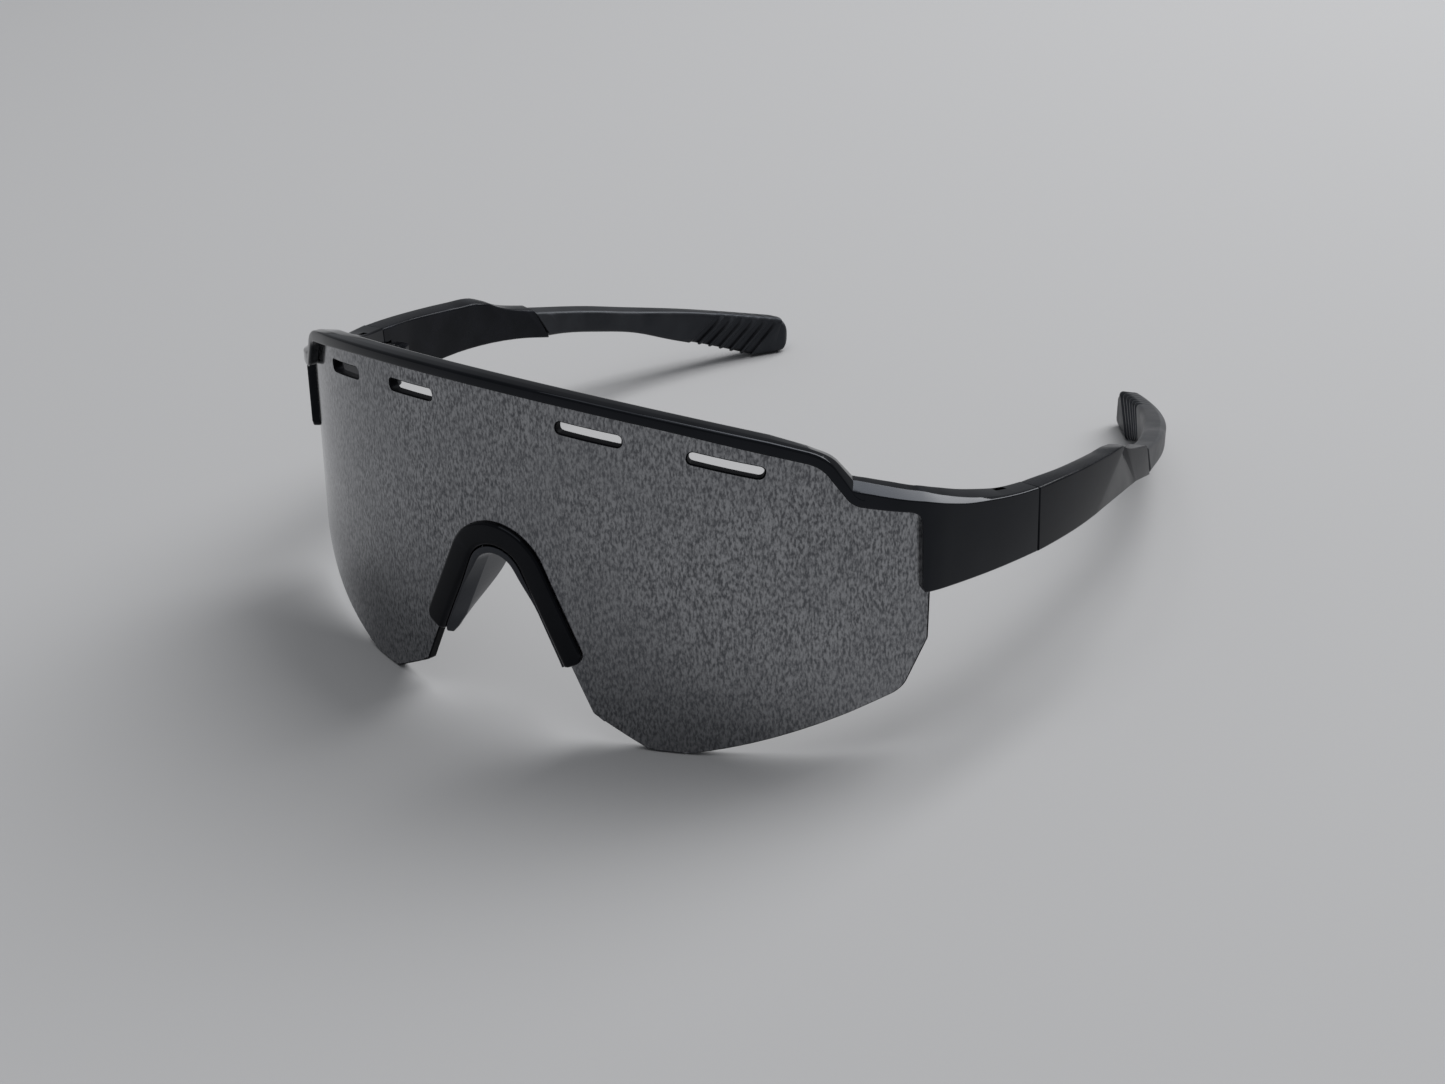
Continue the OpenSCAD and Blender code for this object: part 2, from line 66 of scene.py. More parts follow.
BROW_STEPS, ARC_STEPS, RUN_STEP = 24, 12, 0.8
OUTLINE_STEP, LENS_STRIPS = 2.0, 60
MITRE_LIMIT = -0.5

# Brow frame: rim around the lens's upper edge, step, low run and side strip
RIM_PROUD, RIM_PROUD_END = 1.2, 2.0
RIM_BACK = 0.6
RIM_INSIDE = -LENS_T - RIM_BACK
RIM_LIP, RIM_LIP_START, RIM_LIP_END = 0.4, 28.0, 46.0
GROOVE = 1.0
FIT = 0.03
CLEAR = 0.02
STEP_X, STEP_ROUND = 50.35, 5.0
RUN_X, RUN_Z, RUN_DROP, RUN_ROUND = 54.35, 45.2, 1.95, 3.2
STRIP_X, STRIP_ROUND = 62.2, 1.6
RUN_H, STRIP_H = 2.3, 1.6
CORNER_BLEND, CORNER_SPARE = 5.0, math.radians(1.3)
BAR_OVERLAP, RUN_OVERLAP, RUN_STEPS = 3.0, 0.7, 28

# Arms and hinges: the seam leans about a point at a share of its height
ARM_R, ARM_START, ARM_LEN = 142.0, math.radians(22.3), 26.8
ARM_FOOT_Z, ARM_FOOT_SLOPE = 28.3, 0.028
ARM_CORNER_R = 0.9
HINGE_T = 4.2
HINGE_TOP_Z, HINGE_H = 40.6, 12.4
SEAM_LEAN, SEAM_PIVOT = 0.9, 0.35
EDGE_EASE, ARM_STEPS = 0.16, 44
TOP_SLOT_AT, TOP_SLOT_LEN, TOP_SLOT_IN = 19.6, 2.6, 0.55
TOP_SLOT_W, TOP_SLOT_DEPTH, TOP_SLOT_OVER = 1.0, 0.8, 2.0
KNUCKLE_R, KNUCKLE_H, KNUCKLE_EASE = 2.5, 3.8, 0.25
AXIS_IN, FOLD_GAP = 0.6, 0.25
STACK_TOP_INSET, STACK_LOW_INSET = 3.1, 0.4
UPPER_LUG_H = 1.25
SCREW_D, HEAD_D, HEAD_H, SCREW_SIDES = 1.6, 3.4, 0.9, 36
HEAD_PROUD = 0.08
HEAD_DOME = [(0.55, 0.0), (0.86, 0.15), (1.0, 0.45)]
SEAT_EASE, SEAT_IN = 0.12, 0.1
POINT_EASE, POINT_SHARE = 0.25, 0.7
SCREW_SLOT_W, SCREW_SLOT_SHARE, SCREW_SLOT_OVER = 0.44, 0.45, 1.0
NUT_W, NUT_H, NUT_EASE, NUT_CHAMFER = 3.2, 1.1, 0.16, 0.14
WEB_LEN, WEB_TOE, WEB_INSET = 6.5, 0.8, 0.05
ROOM_BELOW = 2.0

# Temples, each with a tongue that enters its grip
TEMPLE_R, TEMPLE_LEN, TEMPLE_SPLAY = 178.0, 50.4, math.radians(6.8)
TEMPLE_T, TEMPLE_THINNING = 3.8, 12
TEMPLE_RADII = [0.45, 0.4, 0.6, 0.5]
TEMPLE_STEPS, FACET_STEPS = 24, 6
TONGUE_LEN, TONGUE_INSET = 3.0, 0.75

# Ear grips with leaning ribs on their inner face
GRIP_R, GRIP_LEN, GRIP_T = 128.0, 65.6, 4.4
TIP_H, TIP_FLAT, TIP_ROUND, TIP_HEEL = 7.2, 4.5, 1.6, 2.2
GRIP_ARCH = 2.3
GRIP_EASE, GRIP_GAP, GRIP_STEPS = 0.35, 0.35, 44
GRIP_GROWTH, GRIP_CALM, GRIP_LOW = 25, 18, 3
LIP_START, LIP_END, LIP_DROP, LIP_W, INNER_DROP = 0.5, 1.5, 0.35, 0.8, 0.4
GRIP_RADII = (1.1, 0.6, 0.6, 1.0, 1.0)
RIB_GROOVES, RIB_PITCH, RIB_W, RIB_DEPTH = 6, 2.75, 0.8, 0.6
RIB_START, RIB_LEAN = 6.8, math.radians(50)
RIB_WALL, RIB_RUN_IN, RIB_LEAD, RIB_TURN = 0.14, 2.0, 22, 20
TIP_CAP, TIP_STEPS, TIP_TURN_STEPS = 1.2, 6, 6.5

# Nose piece: hard clip on the nose cut's edge, soft saddle inside it
NOSE_Z, NOSE_R, NOSE_ANGLE = 25.9, 6.7, math.radians(25.3)
NOSE_LEG_STEPS, NOSE_ARCH_STEPS = 14, 28
BRIDGE_COVER, BRIDGE_WEB, BRIDGE_WALL, BRIDGE_LEG = 3.05, 1.1, 0.8, 17.3
BRIDGE_RADII = [0.1, 0.5, 1.0, 0.5, 0.35, 0.1, 0.04, 0.04]
BRIDGE_CORNER_R, BRIDGE_END, BRIDGE_END_EASE = 1.8, 2.0, 0.2
BRIDGE_ENDS = [0.0, 0.12, 0.3, 0.55, 0.9, 1.3, 1.8]
SADDLE_T, SADDLE_BACK, SADDLE_END, SADDLE_EASE = 1.5, 7.6, 0.4, 0.25
SADDLE_RISE, CROWN_START, CROWN_GROWTH = 0.8, 4, 8
LEG_FRONT, CROWN_FRONT, LEG_EDGE, CROWN_EDGE = 0.1, 0.5, 0.35, 1.15
SADDLE_SHOULDER, SADDLE_REAR, SADDLE_REAR_IN, SADDLE_REAR_OUT = -2.4, 1.0, 0.3, 0.1
LEG_END = 0.05
SADDLE_RADII = [0.1, 0.15, 0.5, 0.45, 0.45]

# Camera, in the lens's frame, and the photograph's size in pixels
CAMERA_AT = Vector((200.9, -244.8, 181.3))
CAMERA_TARGET = Vector((5.3, 59.2, 10.0))
PHOTO_W, FOCAL_PX = 1445, 2170
SENSOR = 36.0

# Floor and light, in metres
FLOOR_SIZE, FLOOR_COLOUR, FLOOR_ROUGH, FLOOR_SPECULAR = 8, (0.45, 0.45, 0.455, 1), 0.9, 0.1
LIGHT_TARGET = (0, 0.05, 0)
SKY_COLOUR, SKY_STRENGTH = (0.55, 0.57, 0.6, 1), 0.4

# Largest angle between faces that is still shaded as one surface, in degrees
SHADE_HARD, SHADE_FACETS, SHADE_GRIP, SHADE_SADDLE = 32, 18, 40, 60


def lerp(a, b, t):
    return a + (b - a) * t


def smooth(t):
    t = min(1.0, max(0.0, t))
    return t * t * (3 - 2 * t)


def flat(x, y):
    return Vector((x, y))


def corner(a, b, c, r, steps=6):
    """Arc of radius r that rounds the corner b between a and c."""
    u, v = (a - b).normalized(), (c - b).normalized()
    half = u.angle(v) / 2
    middle = b + (u + v).normalized() * (r / math.sin(half))
    p = b + u * (r / math.tan(half)) - middle
    q = b + v * (r / math.tan(half)) - middle
    start = math.atan2(p.y, p.x)
    turn = (math.atan2(q.y, q.x) - start + math.pi) % (2 * math.pi) - math.pi
    angles = [start + turn * i / steps for i in range(steps + 1)]
    return [middle + r * flat(math.cos(t), math.sin(t)) for t in angles]


def rounded(points, radii, steps=5):
    """Closed outline with every corner rounded."""
    n = len(points)
    out = []
    for i in range(n):
        out += corner(points[i - 1], points[i], points[(i + 1) % n], radii[i], steps)
    return out


def spread(path, step):
    """The same line with points no further apart than step."""
    out = []
    for a, b in zip(path, path[1:]):
        n = max(1, math.ceil((b - a).length / step))
        out += [a.lerp(b, i / n) for i in range(n)]
    return out + [path[-1]]


def moved(path, d):
    """The line moved sideways by d, to the left of its direction."""
    out = []
    for i, p in enumerate(path):
        before = (p - path[i - 1] if i else path[1] - path[0]).normalized()
        after = (path[i + 1] - p if i < len(path) - 1 else p - path[i - 1]).normalized()
        n0, n1 = flat(-before.y, before.x), flat(-after.y, after.x)
        out.append(p + (n0 + n1) * (d / (1 + n0.dot(n1))))
    return out


def mirrored(points):
    return [flat(-p.x, p.y) for p in reversed(points)]


def curve(points, x):
    """Smooth line through given points (Catmull-Rom)."""
    n = len(points)
    i = max(0, min(n - 2, next((k - 1 for k in range(n) if points[k][0] > x), n - 2)))
    x0, y0 = points[i]
    x1, y1 = points[i + 1]
    slope = (y1 - y0) / (x1 - x0)
    before = (y1 - points[i - 1][1]) / (x1 - points[i - 1][0]) if i else slope
    after = (points[i + 2][1] - y0) / (points[i + 2][0] - x0) if i < n - 2 else slope
    t = (x - x0) / (x1 - x0)
    w = x1 - x0
    return (
        (2 * t ** 3 - 3 * t ** 2 + 1) * y0 + (t ** 3 - 2 * t ** 2 + t) * w * before
        + (3 * t ** 2 - 2 * t ** 3) * y1 + (t ** 3 - t ** 2) * w * after
    )


# The lens's cylinder and the lines drawn on it, seen from the front as (x, z)
def lens_y(x):
    return LENS_R - math.sqrt(LENS_R ** 2 - x * x)


def brow_line(x):
    return BROW_Z - BROW_DROP * lens_y(x)


def on_lens(x, z, depth=0.0):
    """Point of the front view carried to the lens's cylinder, depth under its front face."""
    a = math.asin(x / LENS_R)
    r = LENS_R - depth
    return Vector((r * math.sin(a), LENS_R - r * math.cos(a), z))


def opening_half():
    """Edge of the frame's opening from the middle to the side strip."""
    xs = [i * (STEP_X - STEP_ROUND) / BROW_STEPS for i in range(BROW_STEPS + 1)]
    line = [flat(x, brow_line(x)) for x in xs]
    top = flat(STEP_X, brow_line(STEP_X))
    low = flat(RUN_X, RUN_Z)
    end = flat(STRIP_X, RUN_Z - RUN_DROP)
    convex = corner(line[-1], top, low, STEP_ROUND, ARC_STEPS)
    hollow = corner(top, low, end, RUN_ROUND, ARC_STEPS)
    return line[:-1] + convex + hollow + spread([hollow[-1], end], RUN_STEP)[1:]


def line_z(path, x):
    """Height of a line at x; a line that ends before x is carried on straight."""
    i = next((k for k in range(1, len(path)) if path[k].x >= x), len(path) - 1)
    a, b = path[i - 1], path[i]
    return lerp(a.y, b.y, (x - a.x) / (b.x - a.x))


def sweep_z(x):
    s = (x - FOOT_X1 + SWEEP_R * math.sin(SWEEP_START)) / SWEEP_R
    return SWEEP_R * (math.cos(SWEEP_START) - math.sqrt(1 - s * s))


def nose_arc(r, first, last, steps):
    angles = [lerp(first, last, i / steps) for i in range(steps + 1)]
    return [flat(r * math.cos(a), NOSE_Z + r * math.sin(a)) for a in angles]


def lens_half():
    """Half outline of the lens, from the brow's middle round to the nose arch's crown."""
    top = moved(opening_half(), GROOVE)
    ear = top[-1] - GROOVE * (top[-1] - top[-2]).normalized()
    side = flat(LENS_HALF_W, SIDE_CORNER_Z)
    low = flat(SWEEP_END_X, sweep_z(SWEEP_END_X))
    join = SWEEP_END_X - SWEEP_JOIN
    sweep_xs = [lerp(join, FOOT_X1, i / ARC_STEPS) for i in range(ARC_STEPS + 1)]
    sweep = [flat(x, sweep_z(x)) for x in sweep_xs]
    heel, toe = flat(FOOT_X1, 0), flat(FOOT_X0, 0)
    leg_x = (NOSE_R + (NOSE_Z - NOSE_CORNER_Z) * math.sin(NOSE_ANGLE)) / math.cos(NOSE_ANGLE)
    nose = flat(leg_x, NOSE_CORNER_Z)
    arch = nose_arc(NOSE_R, NOSE_ANGLE, math.pi / 2, ARC_STEPS)
    return (
        [p for p in top if p.x < ear.x]
        + [ear, flat(LENS_HALF_W, ear.y - LENS_EAR)]
        + corner(flat(LENS_HALF_W, RUN_Z), side, low, SIDE_CORNER_R)
        + corner(side, low, sweep[0], LOW_CORNER_R)
        + sweep[:-1]
        + corner(sweep[-2], heel, toe, FOOT_CORNER_R)
        + corner(heel, toe, nose, FOOT_CORNER_R)
        + corner(toe, nose, arch[0], NOSE_CORNER_R)
        + arch
    )


def vent(x):
    """A vent slot whose upper edge runs parallel to the brow line."""
    fall = math.atan2(brow_line(x + VENT_LEN) - brow_line(x), VENT_LEN)
    along = flat(math.cos(fall), math.sin(fall))
    up = flat(-along.y, along.x)
    brow = (brow_line(x) + brow_line(x + VENT_LEN)) / 2
    middle = flat(x + VENT_LEN / 2, brow - VENT_GAP - VENT_H / 2)
    signs = [(-1, -1), (1, -1), (1, 1), (-1, 1)]
    box = [middle + along * (s * VENT_LEN / 2) + up * (t * VENT_H / 2) for s, t in signs]
    return rounded(box, [VENT_R] * 4)


# Plan of the arms, temples and grips
STRIP_A = math.asin(STRIP_X / LENS_R)
STRIP_R = LENS_R + RIM_PROUD_END
ARM_FRONT = flat(STRIP_R * math.sin(STRIP_A), LENS_R - STRIP_R * math.cos(STRIP_A))
ARM_C = ARM_FRONT + ARM_R * flat(-math.cos(ARM_START), math.sin(ARM_START))
ARM_END = ARM_START - ARM_LEN / ARM_R
HINGE_OUT = ARM_C + ARM_R * flat(math.cos(ARM_END), -math.sin(ARM_END))
HINGE_Y = HINGE_OUT.y
AXIS_X = HINGE_OUT.x - HINGE_T - AXIS_IN
HINGE_FOOT_Z = HINGE_TOP_Z - HINGE_H
TEMPLE_C = HINGE_OUT + TEMPLE_R * flat(-math.cos(TEMPLE_SPLAY), math.sin(TEMPLE_SPLAY))
SEAM_A = TEMPLE_LEN / TEMPLE_R - TEMPLE_SPLAY
SEAM_OUT = TEMPLE_C + TEMPLE_R * flat(math.cos(SEAM_A), math.sin(SEAM_A))
GRIP_C = SEAM_OUT - GRIP_R * flat(math.cos(SEAM_A), math.sin(SEAM_A))
TIP_A = SEAM_A + GRIP_LEN / GRIP_R
TIP_Y = GRIP_C.y + GRIP_R * math.sin(TIP_A)
LUG_H = (HINGE_H - STACK_TOP_INSET - STACK_LOW_INSET - KNUCKLE_H) / 2 - FOLD_GAP
LUG_LOW_Z = HINGE_FOOT_Z + STACK_LOW_INSET
KNUCKLE_Z = LUG_LOW_Z + LUG_H + FOLD_GAP
LUG_TOP_Z = KNUCKLE_Z + KNUCKLE_H + FOLD_GAP
STACK_MIDDLE = Vector((AXIS_X, HINGE_Y, (LUG_LOW_Z + LUG_TOP_Z + LUG_H) / 2))
STACK_TOP_Z = LUG_TOP_Z + UPPER_LUG_H

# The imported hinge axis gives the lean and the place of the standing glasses
hinge = next(j for j in frame["joints"] if j["name"] == "left_temple_fold")
LEAN = math.atan2(hinge["axis"][1], hinge["axis"][2])
TURN = Matrix.Rotation(-LEAN, 4, "X")
MM = 0.001
STAND = (
    Matrix.Translation(Vector(hinge["pos_m"]) - TURN @ (STACK_MIDDLE * MM))
    @ TURN
    @ Matrix.Scale(MM, 4)
)
FOOT_Y = LENS_R - math.sqrt((LENS_R - LENS_T) ** 2 - FOOT_X1 ** 2)


def table_z(y):
    return math.tan(LEAN) * (y - FOOT_Y)


# Mesh helpers
class Shape:
    """Points in millimetres and the faces between them."""

    def __init__(self):
        self.points = []
        self.faces = []
        self.kinds = []

    def add(self, points, faces, kind=0):
        start = len(self.points)
        self.points += [Vector(p) for p in points]
        self.faces += [tuple(start + i for i in f) for f in faces]
        self.kinds += [kind] * len(faces)

    def loft(self, rings, kind=0):
        """Closed skin over a row of rings, capped at both ends."""
        n = len(rings[0])
        faces = [tuple(range(n)), tuple(range((len(rings) - 1) * n, len(rings) * n))]
        for i in range(len(rings) - 1):
            a, b = i * n, (i + 1) * n
            faces += [(a + k, a + (k + 1) % n, b + (k + 1) % n, b + k) for k in range(n)]
        self.add([p for ring in rings for p in ring], faces, kind)

    def lathe(self, centre, profile, sides=40, kind=0):
        """Turned solid about an upright axis, from its profile of (radius, height)."""
        turns = [2 * math.pi * i / sides for i in range(sides)]
        rings = []
        for r, z in profile:
            rings.append([centre + Vector((r * math.cos(t), r * math.sin(t), z)) for t in turns])
        self.loft(rings, kind)


def to_object(name, shape):
    """The shape as a mesh object, still upright and in millimetres, its faces turned outwards."""
    mesh = bpy.data.meshes.new(name)
    mesh.from_pydata(shape.points, [], shape.faces)
    mesh.polygons.foreach_set("material_index", shape.kinds)
    bm = bmesh.new()
    bm.from_mesh(mesh)
    bmesh.ops.delete(bm, geom=[v for v in bm.verts if not v.link_faces], context="VERTS")
    bmesh.ops.recalc_face_normals(bm, faces=bm.faces)
    if bm.calc_volume(signed=True) < 0:
        bmesh.ops.reverse_faces(bm, faces=bm.faces)
    bm.to_mesh(mesh)
    bm.free()
    obj = bpy.data.objects.new(name, mesh)
    bpy.context.scene.collection.objects.link(obj)
    return obj


def twin(obj, name):
    """The same piece for the wearer's right side."""
    mesh = obj.data.copy()
    mesh.transform(Matrix.Diagonal((-1, 1, 1, 1)))
    mesh.flip_normals()
    other = bpy.data.objects.new(name, mesh)
    bpy.context.scene.collection.objects.link(other)
    return other


def shade(obj, angle):
    obj.data.shade_smooth()
    obj.data.set_sharp_from_angle(angle=math.radians(angle))


def combine(obj, other, operation):
    """Boolean of two objects, kept in the first one."""
    cut = obj.modifiers.new("combine", "BOOLEAN")
    cut.operation = operation
    cut.solver = "EXACT"
    cut.object = other
    depsgraph = bpy.context.evaluated_depsgraph_get()
    mesh = bpy.data.meshes.new_from_object(obj.evaluated_get(depsgraph))
    obj.modifiers.clear()
    old = obj.data
    obj.data = mesh
    bpy.data.meshes.remove(old)
    bpy.data.objects.remove(other)
    return obj


def dress(obj, body, node, slot, angle, *materials):
    """Stands a finished piece on the table, on its body and in place of its CAD node."""
    obj.data.transform(STAND)
    shade(obj, angle)
    for material in materials:
        obj.data.materials.append(material)
    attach(obj, body)
    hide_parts(node)
    return obj


# Materials: noise scales in features per metre, depths in millimetres
# The lens's mottle and drift scales set the grain of its painted ground reflection
CLOUDS, HAIRLINES, REFLECTION_MOTTLE, REFLECTION_DRIFT, SMEARS, BRUSHING = 140, 420, 2600, 38, 60, 2500
# Paler edges: partly wear, partly painted highlight on edges and ridge crests
WEAR_AND_HIGHLIGHT_LOW, WEAR_AND_HIGHLIGHT_HIGH = 1.3, 2.4
WEAR_AND_HIGHLIGHT_START, WEAR_AND_HIGHLIGHT_END = 0.56, 0.68
HAIRLINE_START, HAIRLINE_END, HAIRLINE_DEPTH = 0.63, 0.66, 0.004
# Contrast of the softer patches in the lens's painted ground reflection
REFLECTION_VEIL_DARK, REFLECTION_VEIL_LIGHT = 1.25, 0.88
COOL_TINT = (0.8, 0.87, 1.0, 1)


def node_material(name):
    material = bpy.data.materials.new(name)
    material.use_nodes = True
    nodes = material.node_tree.nodes
    return material, nodes, material.node_tree.links, nodes["Principled BSDF"]


def grain(nodes, links, scale, detail=4.0, rough=0.55, stretch=(1, 1, 1)):
    """Noise over the object, scale in features per metre."""
    place = nodes.new("ShaderNodeTexCoord")
    size = nodes.new("ShaderNodeMapping")
    size.inputs["Scale"].default_value = stretch
    noise = nodes.new("ShaderNodeTexNoise")
    noise.inputs["Scale"].default_value = scale
    noise.inputs["Detail"].default_value = detail
    noise.inputs["Roughness"].default_value = rough
    links.new(place.outputs["Object"], size.inputs["Vector"])
    links.new(size.outputs["Vector"], noise.inputs["Vector"])
    return noise.outputs["Fac"]


def ramp(nodes, links, value, stops):
    """Colour ramp through (position, colour) stops."""
    node = nodes.new("ShaderNodeValToRGB")
    elements = node.color_ramp.elements
    while len(elements) < len(stops):
        elements.new(0.5)
    for element, (at, colour) in zip(elements, stops):
        element.position = at
        element.color = (*colour, 1)
    links.new(value, node.inputs["Fac"])
    return node.outputs["Color"]


def spread_values(nodes, links, value, low, high, start=0.3, end=0.7):
    node = nodes.new("ShaderNodeMapRange")
    node.inputs["From Min"].default_value = start
    node.inputs["From Max"].default_value = end
    node.inputs["To Min"].default_value = low
    node.inputs["To Max"].default_value = high
    links.new(value, node.inputs["Value"])
    return node.outputs["Result"]


def bump(nodes, links, value, distance, strength, below=None):
    node = nodes.new("ShaderNodeBump")
    node.inputs["Distance"].default_value = distance
    node.inputs["Strength"].default_value = strength
    links.new(value, node.inputs["Height"])
    if below:
        links.new(below, node.inputs["Normal"])
    return node.outputs["Normal"]


def mix(nodes, links, factor, a, b):
    node = nodes.new("ShaderNodeMix")
    node.data_type = "RGBA"
    links.new(factor, node.inputs["Factor"])
    links.new(a, node.inputs[6])
    links.new(b, node.inputs[7])
    return node.outputs[2]


def scaled(colour, factor):
    return [factor * c for c in colour]


def plastic(name, dark, light, rough, grain_mm, grain_depth, scratch, specular):
    """Moulded plastic or rubber: cloudy tone, uneven gloss, grain, hairline scratches and paler edges,
    partly wear and partly painted highlight on edges and ridge crests.
    """
    material, nodes, links, shader = node_material(name)
    clouds = grain(nodes, links, CLOUDS, 6, 0.6)
    fine = grain(nodes, links, 1000 / grain_mm, 3)
    lines = grain(nodes, links, HAIRLINES, 3, 0.5, (1, 0.04, 1))
    tone = ramp(nodes, links, clouds, [(0.35, dark), (0.68, light)])
    # Edges and ridge crests lightened by pointiness: partly wear, partly painted highlight
    wear_and_highlight_stops = [(0.3, scaled(light, WEAR_AND_HIGHLIGHT_LOW)), (0.7, scaled(light, WEAR_AND_HIGHLIGHT_HIGH))]
    wear_and_highlight_tone = ramp(nodes, links, clouds, wear_and_highlight_stops)
    edges = nodes.new("ShaderNodeNewGeometry")
    wear_and_highlight_mask = spread_values(nodes, links, edges.outputs["Pointiness"], 0, 1, WEAR_AND_HIGHLIGHT_START, WEAR_AND_HIGHLIGHT_END)
    links.new(mix(nodes, links, wear_and_highlight_mask, tone, wear_and_highlight_tone), shader.inputs["Base Color"])
    links.new(spread_values(nodes, links, clouds, *rough), shader.inputs["Roughness"])
    hairlines = spread_values(nodes, links, lines, 0, 1, HAIRLINE_START, HAIRLINE_END)
    surface = bump(nodes, links, fine, grain_depth * MM, 0.5)
    scratched = bump(nodes, links, hairlines, HAIRLINE_DEPTH * MM, scratch, surface)
    links.new(scratched, shader.inputs["Normal"])
    shader.inputs["Specular IOR Level"].default_value = specular
    shader.inputs["Specular Tint"].default_value = COOL_TINT
    return material


def mirror_coat(name, dark, light):
    """Silver mirror coating: fine mottling in drifts that is painted reflection of a mottled ground, and
    faint cleaning smears.
    """
    material, nodes, links, shader = node_material(name)
    # Speckled base colour in contrasty and softer patches: painted reflection of a mottled ground
    painted_reflection = grain(nodes, links, REFLECTION_MOTTLE, 2.5, 0.62, (1, 1, 0.42))
    reflection_drift = grain(nodes, links, REFLECTION_DRIFT, 3)
    reflection_speckle = ramp(nodes, links, painted_reflection, [(0.37, dark), (0.62, light)])
    reflection_veil_stops = [(0.37, scaled(dark, REFLECTION_VEIL_DARK)), (0.62, scaled(light, REFLECTION_VEIL_LIGHT))]
    reflection_veil = ramp(nodes, links, painted_reflection, reflection_veil_stops)
    reflection_patches = spread_values(nodes, links, reflection_drift, 0, 1, 0.4, 0.6)
    links.new(mix(nodes, links, reflection_patches, reflection_speckle, reflection_veil), shader.inputs["Base Color"])
    shader.inputs["Metallic"].default_value = 1.0
    smears = grain(nodes, links, SMEARS, 5, 0.6, (1, 1, 0.3))
    links.new(spread_values(nodes, links, smears, 0.10, 0.17), shader.inputs["Roughness"])
    return material


def steel(name):
    """Turned hinge steel with brushed rings."""
    material, nodes, links, shader = node_material(name)
    lines = grain(nodes, links, BRUSHING, 2, 0.5, (1, 1, 0.1))
    tone = ramp(nodes, links, lines, [(0.3, (0.10, 0.10, 0.105)), (0.7, (0.2, 0.2, 0.2))])
    links.new(tone, shader.inputs["Base Color"])
    links.new(spread_values(nodes, links, lines, 0.22, 0.4), shader.inputs["Roughness"])
    links.new(bump(nodes, links, lines, HAIRLINE_DEPTH * MM, 0.5), shader.inputs["Normal"])
    shader.inputs["Metallic"].default_value = 1.0
    return material


# Dark and light ends of the lens's painted ground reflection speckle
MIRROR = mirror_coat("mirror_lens", (0.1, 0.103, 0.111), (0.325, 0.33, 0.343))
SMOKE = plastic(
    "lens_smoke", dark=(0.003, 0.003, 0.004), light=(0.006, 0.006, 0.007), rough=(0.45, 0.6),
    grain_mm=0.5, grain_depth=0.001, scratch=0.05, specular=0.05,
)
GLOSS = plastic(
    "frame_black", dark=(0.0015, 0.0016, 0.0022), light=(0.004, 0.0042, 0.0055), rough=(0.05, 0.1),
    grain_mm=0.35, grain_depth=0.0012, scratch=0.12, specular=0.25,
)
CLIP = plastic(
    "bridge_black", dark=(0.0015, 0.0016, 0.002), light=(0.004, 0.004, 0.005), rough=(0.06, 0.12),
    grain_mm=0.35, grain_depth=0.0012, scratch=0.1, specular=0.16,
)
SADDLE = plastic(
    "saddle_rubber", dark=(0.004, 0.004, 0.005), light=(0.01, 0.01, 0.012), rough=(0.14, 0.24),
    grain_mm=0.3, grain_depth=0.004, scratch=0.1, specular=0.5,
)
SATIN = plastic(
    "temple_black", dark=(0.0025, 0.0027, 0.0036), light=(0.008, 0.0085, 0.011), rough=(0.16, 0.27),
    grain_mm=0.3, grain_depth=0.004, scratch=0.6, specular=0.12,
)
RUBBER = plastic(
    "grip_rubber", dark=(0.012, 0.0125, 0.014), light=(0.026, 0.027, 0.03), rough=(0.3, 0.45),
    grain_mm=0.22, grain_depth=0.009, scratch=0.2, specular=0.3,
)
STEEL = steel("hinge_steel")


